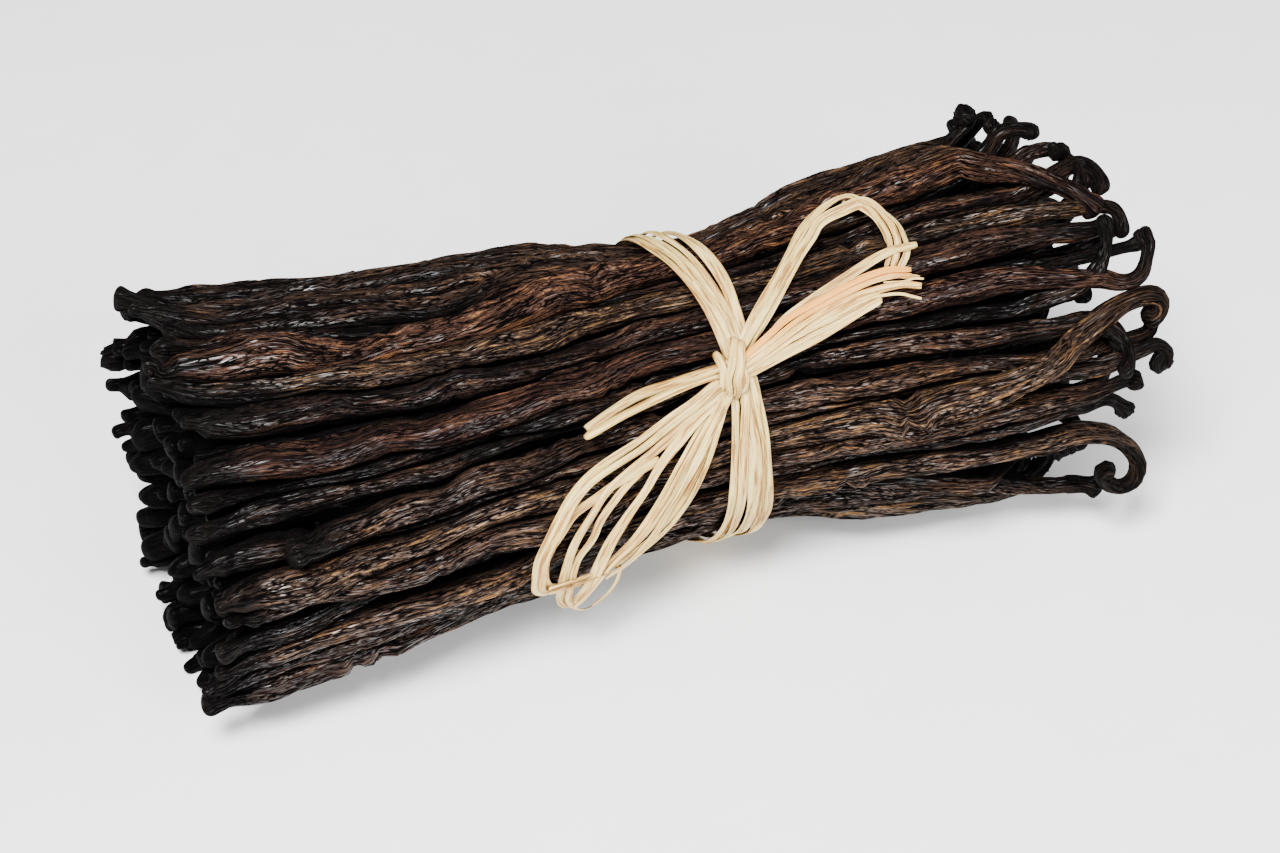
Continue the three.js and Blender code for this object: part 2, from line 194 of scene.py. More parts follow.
# %% [markdown]
# ## Which pods there are
# The pods that face the bow's side are described one by one, because each has its own run: some
# lie on top and cross their neighbours, some sink between them, and every neck curls its own way.
# The far side and the inner rings follow by chance. A table of rows is read into one array per
# property, so that every later step handles all pods at once.

# %% The described pods
# a row: theta at STATIONS; x of the tip and of the neck; how far the pod is sunk; hook, as length,
# turn and side; width against the mean; how far it rises over its neighbours before the neck; how
# light and how red its skin is
STATIONS = np.array([-78.0, -40.0, 0.0, 35.0, 70.0])
SHOWN = [
    ([125, 126, 128, 126, 127], -79, 57, 0.5, (12, 90, -70), 1.0, 0, 0.35, 0.2),
    ([115, 115, 118, 116, 118], -82, 53, 0.6, (13, 130, -60), 1.0, 0, 0.35, 0.2),
    ([106, 105, 109, 106, 108], -81, 57, 0.8, (15, 130, -60), 1.0, 0, 0.45, 0.2),
    ([97, 94, 104, 97, 98], -77, 60, 0.8, (15, 130, -50), 1.0, 0, 0.40, 0.3),
    ([90, 87, 89, 90, 83], -80, 64, 2.2, (14, 100, -80), 0.95, 0, 0.50, 0.5),
    ([83, 77, 97, 98, 93], -82, 57, -0.6, (27, 80, -86), 1.3, 1.0, 0.80, 0.6),
    ([73, 66.5, 77, 76, 69], -82, 68, 0.4, (14, 90, -70), 0.95, 0, 0.75, 0.1),
    ([61, 57, 66, 66, 59], -79, 67, 0.6, (9, 20, 0), 1.05, 0, 0.20, 0.5),
    ([52, 53, 60, 60, 53], -78, 57, 2.0, (19, 60, 40), 0.9, 0, 0.30, 0.6),
    ([44.5, 47.5, 54, 53, 45], -81, 66, 0.0, (10, 70, -60), 1.08, 0, 0.40, 0.7),
    ([37, 38.5, 45.5, 46, 41], -81, 64, 1.6, (17, 105, 85), 0.95, 0, 0.30, 0.4),
    ([31, 34.5, 38, 38, 33], -82, 66, 1.6, (16, 150, -60), 0.95, 0, 0.40, 0.4),
    ([22.5, 25, 28, 28, 23], -68, 65, -0.4, (11, 90, -85), 1.0, 0, 0.50, 0.3),
    ([20.5, 17, 20.5, 20, 18], -82, 70, 1.0, (11, 140, -70), 0.95, 0, 0.35, 0.3),
    ([13, 12, 12, 15, 28], -80, 60, 0.0, (15, 165, -80), 1.15, 1.8, 0.85, 0.15),
    ([3.5, 3.5, 3, 4.5, 9], -79, 66, 0.0, (8, 40, 30), 1.1, 0, 0.55, 0.35),
    ([-8, -5.5, -4.5, -4, 3], -80.5, 66, 1.4, (13, 80, 60), 0.9, 0, 0.30, 0.3),
    ([-15.5, -14, -13.5, -15, -6], -81, 60, 0.0, (36, 330, -88), 1.1, 0, 0.75, 0.2),
    ([-25, -24, -23, -25, -30], -83, 52, 0.6, (6, 20, 0), 1.0, 0, 0.45, 0.35),
    ([-35, -34, -34, -38, -38], -83, 68, 0.4, (7, 30, 0), 1.0, 0, 0.40, 0.3),
]
# places that some stem ends curl through, by row: x, theta and height over the outline
CURLS = {
    0: [(63.5, 126, -2.5), (66.5, 124, -1), (68.5, 122, 0.5), (69, 120, -0.5), (68.5, 118, -2.5)],
    1: [(59, 118, -2), (62, 118, -0.5), (64.5, 117, 1), (64, 116, 2.5), (62, 115, 3)],
    2: [(63, 108, -4), (65.5, 107, -2.5), (67, 106, -0.5), (70, 105, -0.5), (72.5, 104, -1.5),
        (73, 103, -2.5)],
    3: [(66, 98, -4.5), (69.5, 97, -3), (73.5, 95, -2.5), (75, 87, -2.5), (75, 80, -2.5), (74.5, 75, -3.5)],
    4: [(70, 83, -3), (75.5, 85, -2.5), (77, 82, -2.5), (77.5, 76, -2.5), (76.5, 72, -3.5)],
    5: [(61, 91, -1.5), (65.5, 84.5, -1.2), (69.5, 76.5, -1.2), (72.5, 70, -1.5), (75, 65, -3)],
    6: [(75.5, 67, -2.5), (77.5, 65, -2.5), (78, 61, -3), (77.5, 56, -4)],
    7: [(73, 60, -2.5), (76.5, 62, -4), (77.5, 60, -6)],
    8: [(62.5, 53, -4), (67, 53, -4), (73, 53, -4), (79, 53, -3), (81, 54, -3)],
    9: [(71.5, 45, -2.5), (75, 42, -2), (78, 43, -2), (80, 48, -2), (81, 53, -2), (80.5, 57, -2)],
    12: [(71, 23, -6), (76, 23, -6), (79.5, 24, -6), (80.5, 28, -6), (80, 33, -6)],
    13: [(76.5, 20, -3), (79.5, 21, -3), (81, 18, -3), (81, 12, -3.5)],
    14: [(65, 28, -1.8), (69, 31.5, -1.8), (73, 35, -2), (77, 36.5, -2), (80, 35.5, -2.4), (81, 32.5, -3),
         (80, 30, -4), (78, 30, -5)],
    15: [(70.5, 9, -4), (73.5, 10, -4), (75.5, 10, -4), (75.5, 6, -4)],
    16: [(71, 3, -5), (73.5, 0, -5), (76, -6, -5)],
    17: [(65.5, -8.5, -4), (70.5, -11, -4.2), (74.5, -16, -4), (77.2, -21, -3), (78.5, -25.5, -1),
         (77.6, -28, 0.8), (75.5, -28.5, 1.6), (73, -27.2, 1.3), (71.4, -24.5, 0.4), (71.6, -22, 0),
         (72.8, -21.5, 1)],
    18: [(59, -29, -8), (64, -31, -8), (67.5, -30, -7.5), (68, -25.5, -6.5), (67, -21, -6)],
}
print("described pods", len(SHOWN), "of which curled", len(CURLS))

# %% [markdown]
# The far side is a count of pods, evenly spread but for some chance. Inside lie four rings, each
# nearer to the axis by the same share of the radius. Between the two values of theta in NOTCH the
# necks of the widest two rings stop short, which leaves the gap that light shows through.

# %% The table as arrays
FAR_SIDE = 17
INNER = [26, 19, 12, 6]
RING_STEP = 0.2
NOTCH = (-60, -5)
NOTCH_DEPTH = 20
COLUMNS = "tip neck sink length turn side width rise light red share".split()


def table(rows):
    """One array per property from rows of the form theta, then the COLUMNS in order."""
    made = {"theta": np.array([row[0] for row in rows], float)}
    flat = np.array([row[1:] for row in rows], float)
    made.update({name: flat[:, k] for k, name in enumerate(COLUMNS)})
    made["number"] = np.arange(len(rows), dtype=float)
    return made


def slanted_tip(theta, share):
    """Mean x of the tips: those on the bow's side stand further in than the far ones."""
    return TIP_END + TIP_SLANT * share * np.cos(np.radians(theta - BOW_SIDE))


def far_row(j):
    """A row for pod j of the far side, evenly spaced between the described ones."""
    first, last = SHOWN[0][0][0], SHOWN[-1][0][0] + 360
    theta = first + (last - first) * (j + 1) / (FAR_SIDE + 1) + 3 * (dice(j, 1) - 0.5)
    thetas = [theta + 5 * (dice(j, 2 + k) - 0.5) for k in range(len(STATIONS))]
    tip = slanted_tip(theta, 1) + 3 * (dice(j, 8) - 0.5)
    hook = (11 + 7 * dice(j, 10), 60 + 110 * dice(j, 11), 90 + 180 * dice(j, 12))
    looks = (0.9 + 0.25 * dice(j, 14), 0, 0.25 + 0.5 * dice(j, 15), 0.6 * dice(j, 16))
    return [thetas, tip, NECK_END - 4 + 8 * dice(j, 9), 1.4 * dice(j, 13), *hook, *looks, 1]


def inner_row(ring, j):
    """A row for pod j of an inner ring, ring 0 being the widest. Only its ends show."""
    i = ring * 40 + j
    share = 1 - (ring + 1) * RING_STEP
    theta = 360 * (j + 0.5 * (ring % 2)) / INNER[ring] + 6 * (dice(i, 19) - 0.5)
    notched = ring < 2 and NOTCH[0] < theta - 360 < NOTCH[1]
    neck = NECK_END + 12 * dice(i, 21) - NOTCH_DEPTH * notched
    tip = slanted_tip(theta, share) + 4 * (dice(i, 20) - 0.5)
    free_hook = (10 + 7 * dice(i, 22), 50 + 120 * dice(i, 23), 360 * dice(i, 24))
    hook = (4, 20, 0) if notched else free_hook
    looks = (0.9 + 0.2 * dice(i, 25), 0, 0.15 + 0.4 * dice(i, 26), 0.6 * dice(i, 27))
    return [[theta] * 5, tip, neck, 0, *hook, *looks, share]


def chosen(pods, keep):
    """The rows of a table that keep names."""
    return {key: column[keep] for key, column in pods.items()}


shown_rows = [[row[0], *row[1:4], *row[4], *row[5:], 1] for row in SHOWN]
outer_rows = shown_rows + [far_row(j) for j in range(FAR_SIDE)]
inner_rows = [inner_row(ring, j) for ring, count in enumerate(INNER) for j in range(count)]
everything = table(outer_rows + inner_rows)
outer_count = len(outer_rows)
outer = chosen(everything, np.arange(outer_count))
print("outer pods", outer_count, "inner pods", len(inner_rows))

# %% [markdown]
# ## How a pod runs
# A cured pod is a limp stick that takes the bends of what it is packed with. Its centre line
# follows the bundle's outline at its own theta, sunk or raised a little, and wanders as it goes.

# %% Centre lines
POD_RADIUS = 3.25
# share of its radius that a pod loses at the tie, and how far from the tie it still feels it
WAIST_SQUEEZE = 0.2
TIE_REACH = 24.0
# share of its radius that a pod loses over the last mm before the neck
NECK_LOSS = 0.36
NECK_TAPER = 18
# height of the lowest centre lines over the ground, in radii
SETTLED = 0.75


def free_radius(pods, x):
    """Radius of a pod left to itself: squeezed at the tie and narrowing to the neck."""
    waist = 1 - WAIST_SQUEEZE * np.exp(-(((x - TIE_X) / TIE_REACH) ** 2))
    neck = pods["neck"][:, None]
    return POD_RADIUS * waist * (1 - NECK_LOSS * ramp(neck - NECK_TAPER, neck, x))


def packed_radius(pods, x):
    """Radius that places a pod: the free one, but half of it at the tip, so that tips crowd."""
    return free_radius(pods, x) * (0.5 + 0.5 * ramp(0, 8, x - pods["tip"][:, None]))


def summed(steps):
    """Running sums along each row, from 0 before the first step to the whole after the last."""
    return np.concatenate([np.zeros((len(steps), 1)), np.cumsum(steps, 1)], 1)


def fullness(x, theta):
    """How far the far shoulder of the bundle stands out past its outline.

    A bell curve round the shoulder at theta 130, times the sum along it of a bell curve in front
    of the tie, a step behind it and a rise at the tips.
    """
    round_about = np.exp(-(((np.mod(theta - 130 + 180, 360) - 180) / 36) ** 2))
    in_front = 4.2 * np.exp(-(((x + 18) / 15) ** 2))
    return round_about * (in_front + 1.6 * ramp(12, 24, x) + 2.2 * ramp(-66, -80, x))


def body_line(pods, x):
    """Centres of the pods at x, one row of x to a pod.

    theta and the distance from the axis both sway, more the further from the tie. Each tip leans
    off in a direction of its own.
    """
    number = pods["number"][:, None]
    radius = packed_radius(pods, x)
    sink = pods["sink"][:, None]
    pulled_in = np.exp(-(((x - TIE_X) / TIE_REACH) ** 2))
    sink = np.where(sink < 0, sink * (1 - pulled_in), sink)
    sink = sink - pods["rise"][:, None] * ramp(28, 50, x)
    free = 1 - np.exp(-(((x - TIE_X) / 14) ** 2))
    sink = sink + free * 2.6 * (sway(number, x, 17, 41) + 0.2)
    theta = through(STATIONS, pods["theta"], x)
    theta = theta + free * (4.2 * sway(number, x, 18, 42) + 2.0 * sway(number, x, 7, 44))
    distance = (outside_radius(x) + fullness(x, theta) - radius - sink) * pods["share"][:, None]
    centre = place(x, theta, distance)
    near_tip = np.clip(1 - (x - pods["tip"][:, None]) / 13, 0, 1) ** 2
    aside = 2 * np.pi * dice(number, 43)
    centre[..., 1] += 1.5 * near_tip * np.cos(aside)
    centre[..., 2] += 1.5 * near_tip * np.sin(aside)
    centre[..., 2] = np.maximum(centre[..., 2], SETTLED * radius)
    return centre


print("neck points", np.round(body_line(outer, outer["neck"][:, None])[:3, 0], 1).tolist())

# %% [markdown]
# ## Curled stems
# Past the neck, the thin stem end curls up by itself. The curl is summed from short straight steps
# whose direction turns more and more, which gives hooks and spirals from three numbers. The stems
# that stand out most run through places of their own instead, on a smooth curve.

# %% Stem ends
# the angle grows as this power of the way along the hook
HOOK_GATHER = 1.35
# short straight steps that a hook is summed from
HOOK_PARTS = 240


def hook_line(pods, steps):
    """Centres along the curled stem ends, the fraction of the hook that each has run, and the
    direction that stands square to the curl.

    The fractions gather at the end, where the stem is closed: 1 - (1 - t)^1.6.
    """
    neck = pods["neck"][:, None]
    start, behind = body_line(pods, neck)[:, 0], body_line(pods, neck - 3)[:, 0]
    ahead = unit(start - behind)
    out = outward(through(STATIONS, pods["theta"], neck)[:, 0])
    round_about = unit(np.cross([1.0, 0, 0], out))
    side = np.radians(pods["side"])[:, None]
    towards = out * np.cos(side) - round_about * np.sin(side)
    towards = unit(towards - ahead * dot(towards, ahead)[:, None])
    fine = np.linspace(0, 1, HOOK_PARTS + 1)
    middle = (fine[1:] + fine[:-1]) / 2
    angle = np.radians(pods["turn"])[:, None] * middle**HOOK_GATHER
    step = pods["length"][:, None] / len(middle)
    forward, aside = summed(np.cos(angle) * step), summed(np.sin(angle) * step)
    done = 1 - (1 - np.linspace(0, 1, steps + 1)[1:]) ** 1.6
    at = np.round(done * HOOK_PARTS).astype(int)
    centre = start[:, None] + forward[:, at, None] * ahead[:, None] + aside[:, at, None] * towards[:, None]
    binormal = np.cross(ahead, towards)
    for i, number in enumerate(pods["number"].astype(int)):
        if number in CURLS:
            x, theta, height = np.array(CURLS[number], float).T
            corners = np.concatenate([[behind[i], start[i]], place(x, theta, outside_radius(x) + height)])
            curl, reached = curve_through(corners)
            from_start = np.linalg.norm(start[i] - behind[i])
            wanted = from_start + done * (reached[-1] - from_start)
            centre[i] = np.stack([np.interp(wanted, reached, curl[:, k]) for k in range(3)], -1)
            steps_along = np.diff(corners, axis=0)
            binormal[i] = unit(np.cross(steps_along[:-1], steps_along[1:]).sum(0) + 1e-3 * binormal[i])
    return centre, done, binormal


print("stem ends", np.round(hook_line(outer, 10)[0][:3, -1], 1).tolist())

# %% [markdown]
# ## Packing
# Round pods in a tight bundle press each other flat where they touch. Instead of simulating that,
# each pod is cut off softly by the plane midway to each neighbour: the power of a point to both
# circles is equal there, so thick pods push thin ones back. The raffia is one more wall, and so is
# the surface that the bundle lies on. A soft minimum of all those limits keeps the edges round.


# %% The limits that a pod meets
# the power in the soft minimum: the higher, the sharper the edges between pressed pods
HARDNESS = 8.0
# x of the places that are kept of every pod
GRID_STEP = 0.5
GRID = np.arange(-92.0, 92.0, GRID_STEP)


def neighbours_on_grid(pods):
    """y, z and radius of every pod at each x of the grid; the radius is 0 beyond its ends."""
    x = np.broadcast_to(GRID, (len(pods["tip"]), len(GRID)))
    centre = body_line(pods, x)
    radius = packed_radius(pods, x) * pods["width"][:, None]
    there = (x > pods["tip"][:, None] + 1) & (x < pods["neck"][:, None] + 3)
    return centre[..., 1], centre[..., 2], np.where(there, radius, 0)


def crowding(centre, radius, direction, free, own, others):
    """Sum over all limits of limit^-HARDNESS, for the stations of one pod.

    A neighbour at offset d limits direction u to (|d|^2 + r_own^2 - r_other^2) / (2 d.u). The
    raffia limits it to the room left under the band, the ground to the height over it.
    """
    column = np.clip(np.round((centre[:, 0] - AXIS[0] - GRID[0]) / GRID_STEP), 0, len(GRID) - 1)
    y, z, r = (plane[:, column.astype(int)] for plane in others)
    dy, dz = y - centre[:, 1], z - centre[:, 2]
    apart = dy**2 + dz**2
    near = (r > 0) & (apart > 0.04) & (apart < 200)
    near[own] = False
    reach = np.maximum((apart + radius**2 - r**2) / 2, 0.12 * apart)
    towards = dy[..., None] * direction[None, ..., 1] + dz[..., None] * direction[None, ..., 2]
    pressed = np.where(near, 1 / np.maximum(reach, 1e-3), 0)[..., None] * np.maximum(towards, 0)
    total = np.sum(pressed**HARDNESS, 0)
    spoke = centre - AXIS
    spoke[:, 0] = 0
    from_axis = np.linalg.norm(spoke, axis=-1)
    out = dot(direction, (spoke / from_axis[:, None])[:, None])
    tied = np.exp(-(((centre[:, 0] - AXIS[0] - TIE_X) / 5) ** 2))
    room = np.maximum(TIE_RADIUS + 0.1 - from_axis, 0.6)
    total += tied[:, None] * (np.maximum(out, 0) / room[:, None]) ** HARDNESS
    total += (np.maximum(-direction[..., 2], 0) / np.maximum(centre[:, 2:] - 0.05, 0.3)) ** HARDNESS
    return total * free[:, None]


all_places = neighbours_on_grid(everything)
print("places kept, pods by stations", all_places[0].shape)

# %% [markdown]
# ## The skin
# Curing shrivels a pod, so its skin is all fine lengthwise wrinkles: rounded cords between narrow,
# dark grooves. Smooth chance folded about its middle, |2n - 1|, has just that form. Two sizes of it
# are added, drawn out along the pod, and let wander sideways. These are in the mesh, because they
# show on the outline, and the finest lines are left to the material.


# %% Wrinkles, lumps and creases
def folded(thing, around, along, cells, length, seed):
    """Smooth chance folded about its middle: 0 in sharp grooves, 1 on rounded crests."""
    return np.abs(2 * wander(thing, around, along, cells, length, seed) - 1)


def wrinkles(number, around, along):
    """Height of the skin's cords, from 0 in the grooves to 1 on the crests."""
    drift = 0.9 * (wander(number, around, along, 3, 26, 51) - 0.5)
    drift = drift + 0.3 * (wander(number, around, along, 7, 6, 52) - 0.5)
    turned = around + drift + (dice(number, 53) - 0.5) * along / 60
    broad = folded(number, turned, along, 19, 11, 54)
    fine = folded(number, turned, along, 34, 6, 55)
    return np.clip(0.62 * broad**0.7 + 0.45 * fine**0.8, 0, 1)


def lumps(number, around, along):
    """Slow swelling and shrinking round and along a pod, from -0.5 to 0.5."""
    slow = wander(number, around, along, 2, 19, 61)
    quick = wander(number, around, along, 5, 7, 62)
    return 0.55 * slow + 0.45 * quick - 0.5


def creases(number, around, along, length):
    """Kinks, a few to each pod: how deep the dent is here, and how far the lines swerve by it.

    The dent is a bell curve along the pod with the skin heaped up on both sides of it. The swerve
    is a wider bell curve, in radians round the pod.
    """
    dent, swerve = 0, 0
    for k in range(4):
        at = 14 + (length - 34) * dice(number, 70 + k)
        bow = 2.2 * (wander(number, around, at, 3, 9, 74 + k) - 0.5)
        t = (along - at - bow) / 0.9
        deep = ramp(0.25, 0.75, wander(number, around, at, 2, 9, 78 + k))
        dent = dent + deep * (np.exp(-(t**2)) - 0.45 * np.exp(-(((np.abs(t) - 2.3) / 1.4) ** 2)))
        swerve = swerve + 0.5 * (dice(number, 84 + k) - 0.5) * np.exp(-((t / 3.5) ** 2))
    return dent, swerve


print("skin height along a pod", np.round(wrinkles(0, 1.0, np.arange(4.0)), 2).tolist())


# %% [markdown]
# ## Blunt tips
# The free end of a pod is blunt, and slimmer than the rest. Some tips are plainly rounded, some
# have a small nub, and some look cut square with a raised rim. Chance deals each pod one of these.


# %% Tips
def rounding(distance, over):
    """Share of full radius at a distance from a closed end: a quarter circle over that length."""
    return np.sqrt(np.clip(1 - (1 - np.clip(distance / over, 0, 1)) ** 2, 0, 1))


# mm over which a plain tip rounds off
TIP_CLOSING = 2.6


def tip_profile(pods, distance):
    """Radius of the blunt tips against the pod's: plain, with a small nub, or cut square."""
    kind = dice(pods["number"], 81)[:, None]
    slim = 0.58 + 0.26 * dice(pods["number"], 93)[:, None]
    full = slim + (1 - slim) * ramp(0, 12, distance)
    plain = full * rounding(distance, TIP_CLOSING)
    nub_length = 1.2 + 1.4 * dice(pods["number"], 82)[:, None]
    nub = 0.4 * rounding(distance, 0.9) * ramp(nub_length + 1.6, nub_length, distance)
    shoulder = full * rounding(np.maximum(distance - nub_length, 0), 2.4)
    nubbed = (nub**4 + shoulder**4) ** 0.25
    rim = 1 + 0.16 * np.exp(-(((distance - 1.0) / 0.9) ** 2))
    square = 0.92 * full * rounding(distance, 0.7) * rim
    return np.where(kind < 0.35, plain, np.where(kind < 0.72, nubbed, square))


tips = tip_profile(outer, np.array([[0.5, 1.5, 3.0]]))
print("share of full radius near three tips", np.round(tips[:3], 2).tolist())

# %% [markdown]
# ## A batch of pods as one surface
# Each pod is a grid: stations along it, and points round each station. The points stand closer
# together on the side that shows. The two directions across the pod come from the plane in which
# its stem curls, so the grid never twists. All pods of a batch are worked out together.


# %% Stations, radii and directions
# how strongly the points gather on the side that shows, and the stations on the rounded tip
AROUND_BIAS = 0.5
TIP_RINGS = 9
STEM_RADIUS = 1.47


def station_distances(length, steps):
    """Distances from the tip: gathered over the rounded tip, then even up to the neck."""
    closing = TIP_CLOSING * (1 - np.cos(np.linspace(0, np.pi / 2, TIP_RINGS)))
    even = np.linspace(0, 1, steps)[1:]
    rest = TIP_CLOSING + (length[:, None] - TIP_CLOSING) * even
    return np.concatenate([np.broadcast_to(closing, (len(length), TIP_RINGS)), rest], 1)


def station_radii(pods, distance, done, to_end):
    """Radius at every station: the free one shaped at the tip, then the stem, flared at its end."""
    rod = free_radius(pods, pods["tip"][:, None] + distance)
    stem = rod[:, -1:] + (STEM_RADIUS - rod[:, -1:]) * ramp(0, 0.9, done)
    radius = np.concatenate([rod * tip_profile(pods, distance), stem], 1) * pods["width"][:, None]
    flare = (0.15 + 0.5 * dice(pods["number"], 83))[:, None] * np.exp(-(((to_end - 1.5) / 1.3) ** 2))
    return radius * (1 + flare) * rounding(to_end, 1.3)


def kept_in(centre, radius):
    """Centres moved so far that their pods stay over the ground and, but for the tips, in the box."""
    centre[..., 2] = np.maximum(centre[..., 2], 0.8 * radius + 0.1)
    margin = 1.15 * radius[..., None]
    return np.clip(centre, BOX[0] + margin * [0, 1, 0], BOX[1] - margin)


def spokes(pods, centre, binormal, around, middle):
    """Angles round every station, and the directions that they stand for.

    The angles t - b sin t, with t even, gather on the side that faces outwards at the middle.
    """
    tangent = unit(np.gradient(centre, axis=1))
    across = unit(binormal[:, None] - tangent * dot(tangent, binormal[:, None])[..., None])
    other = np.cross(across, tangent)
    shown = outward(pods["theta"][:, 2])
    facing = np.arctan2(dot(shown, across[:, middle]), dot(shown, other[:, middle]))
    turn = np.linspace(-np.pi, np.pi, around, endpoint=False)
    angle = (facing[:, None] + turn - AROUND_BIAS * np.sin(turn))[:, None, :]
    towards_other = np.cos(angle)[..., None] * other[:, :, None]
    return angle, towards_other + np.sin(angle)[..., None] * across[:, :, None]


print("stations on a tip", np.round(station_distances(np.array([140.0]), 110)[0, :TIP_RINGS], 2).tolist())

# %% [markdown]
# The surface starts as the pod's radius in every direction, made a little oval and lumpy. It is
# then pressed flat against its neighbours, and last comes the relief of the wrinkles and dents,
# because folds in the skin survive the pressing.


# %% From centre lines to surfaces
# depth in mm of the wrinkles' grooves and of the dents where a pod was folded
GROOVE_DEPTH = 0.95
DENT_DEPTH = 0.8
# no radius is taken as less than this while pods press each other, so that the powers stay finite
LEAST_RADIUS = 0.02


def pressed(pods, full, centre, radius, direction, x, others):
    """Radii cut off softly by every limit: (full^-h + sum of limit^-h)^(-1/h), up to the neck."""
    free = 1 - ramp(-10, 0, x - pods["neck"][:, None])
    stations = x.shape[1]
    for i, own in enumerate(pods["number"].astype(int)):
        body = (i, slice(stations))
        crowd = crowding(centre[body], radius[body], direction[body], free[i], own, others)
        full[body] = (np.maximum(full[body], LEAST_RADIUS) ** -HARDNESS + crowd) ** (-1 / HARDNESS)
    return full


def end_nearness(pods, s, to_end):
    """1 at the tip and along the stem, 0 over most of the pod."""
    past_neck = 1 - to_end / (8 + pods["length"][:, None, None])
    return np.maximum(1 - ramp(1, 13, s), ramp(0, 1, past_neck))


def gap_shade_depth(points):
    """0 at the bundle's outline and 1 well under it, but 0 again among the free stems. The skin turns it
    into painted shade between the pods.
    """
    spoke = points - AXIS
    below = outside_radius(spoke[..., 0]) - np.hypot(spoke[..., 1], spoke[..., 2])
    return ramp(1.6, 5.5, below) * ramp(-4, 10, NECK_END + 8 - spoke[..., 0])


def pod_surfaces(pods, around, body_steps, hook_steps, others=None):
    """Points of every pod, and per point what its skin needs to know.

    Returned are points (pod, station, around, 3), the grain (a place on the unrolled skin), the
    height of the wrinkles, how near an end the point is, and how deep it lies in the bundle, which
    the skin uses for painted shade between pods. The pods only press each other flat where the
    places of the others are given.
    """
    length = pods["neck"] - pods["tip"]
    distance = station_distances(length, body_steps)
    x = pods["tip"][:, None] + distance
    hook, done, binormal = hook_line(pods, hook_steps)
    centre = np.concatenate([body_line(pods, x), hook], 1)
    along = summed(np.linalg.norm(np.diff(centre, axis=1), axis=-1))
    to_end = along[:, -1:] - along
    radius = station_radii(pods, distance, done, to_end)
    centre = kept_in(centre, radius)
    angle, direction = spokes(pods, centre, binormal, around, distance.shape[1] // 2)

    number = pods["number"][:, None, None]
    s, to_end, rod = along[..., None], to_end[..., None], radius[..., None]
    three_sided = np.cos(3 * angle + 6 * dice(number, 91))
    oval = np.cos(2 * angle + 6 * dice(number, 92))
    swell = ramp(0, 7, s) * ramp(0, 6, to_end)
    full = rod * (1 + 0.05 * three_sided + 0.05 * oval) * (1 + 0.6 * swell * lumps(number, angle, s))
    if others is not None:
        full = pressed(pods, full, centre, radius, direction, x, others)
    dent, swerve = creases(number, angle, s, length[:, None, None])
    lined = angle + swerve
    height = wrinkles(number, lined, s)
    full = full - ramp(0, 2.2, rod) * (GROOVE_DEPTH * (1 - height) + DENT_DEPTH * dent)
    knobbly = ramp(11, 3, s) * (wander(number, angle, s, 6, 2.2, 63) - 0.5)
    full = np.maximum(full * (1 + 0.4 * knobbly), 0.25 * rod)
    points = np.clip(centre[:, :, None] + full[..., None] * direction, BOX[0], BOX[1])

    round_x, round_y = POD_RADIUS * np.cos(lined), POD_RADIUS * np.sin(lined)
    grain = np.stack(np.broadcast_arrays(round_x, round_y, 0.17 * s + 5 * number), -1)
    near_end = np.broadcast_to(end_nearness(pods, s, to_end), height.shape)
    return points, grain, height, near_end, gap_shade_depth(points)


few = chosen(outer, np.arange(2))
print("grid of two pods", pod_surfaces(few, 12, 20, 10)[0].shape)

# %% [markdown]
# ## From grids to meshes
# Every shape here is a tube: a grid that closes on itself round about, with one more point at
# either end to close it there. One function numbers the faces of any such tubes, one adds the end
# points, and one writes the mesh and the numbers that its material reads.


# %% Closed grids as meshes
def tube_faces(tubes, rings, around, first_point=0):
    """Corner numbers of grids closed round about and by a point at each end, tube after tube."""
    start = first_point + (np.arange(tubes) * (rings * around + 2))[:, None, None]
    ring = np.arange(rings - 1)[None, :, None] * around
    here = np.arange(around)[None, None]
    there = (here + 1) % around
    near_ring, far_ring = start + ring, start + ring + around
    quads = np.stack(np.broadcast_arrays(
        near_ring + here, near_ring + there, far_ring + there, far_ring + here
    ), -1).reshape(-1, 4)
    first, last = start[:, 0], start[:, 0] + (rings - 1) * around
    pole = start[:, 0] + rings * around
    near = np.stack(np.broadcast_arrays(first + there[0], first + here[0], pole), -1).reshape(-1, 3)
    far = np.stack(np.broadcast_arrays(last + here[0], last + there[0], pole + 1), -1).reshape(-1, 3)
    return quads.tolist() + near.tolist() + far.tolist()


def with_poles(grid):
    """Values on (tube, ring, around) as a flat list, each tube followed by its two end points."""
    tubes, rings, around = grid.shape[:3]
    rest = grid.shape[3:]
    poles = np.stack([grid[:, 0].mean(1), grid[:, -1].mean(1)], 1)
    flat = grid.reshape((tubes, rings * around) + rest)
    return np.concatenate([flat, poles], 1).reshape((-1,) + rest)


def write_mesh(name, points, faces, material, **values):
    """A smooth mesh object in metres, with one vector or number per point for each value."""
    mesh = bpy.data.meshes.new(name)
    mesh.from_pydata((points / 1000).tolist(), [], faces)
    mesh.shade_smooth()
    for key, numbers in values.items():
        vector = numbers.ndim == 2
        kept = mesh.attributes.new(key, "FLOAT_VECTOR" if vector else "FLOAT", "POINT")
        kept.data.foreach_set("vector" if vector else "value", numbers.astype(np.float32).ravel())
    mesh.materials.append(material)
    made = bpy.data.objects.new(name, mesh)
    bpy.context.scene.collection.objects.link(made)
    triangles = sum(len(face) - 2 for face in faces)
    print(name, "points", len(points), "triangles", triangles)
    return made


print("faces of the smallest tube", tube_faces(1, 2, 3))

# %% [markdown]
# ## Writing materials as sums
# A material is a picture that is worked out anew for each point of a surface. Written as nodes it
# is hard to read, so this small class lets it be written as Python sums: a Number wraps a socket
# and knows +, - and *, each of which adds a Math node.


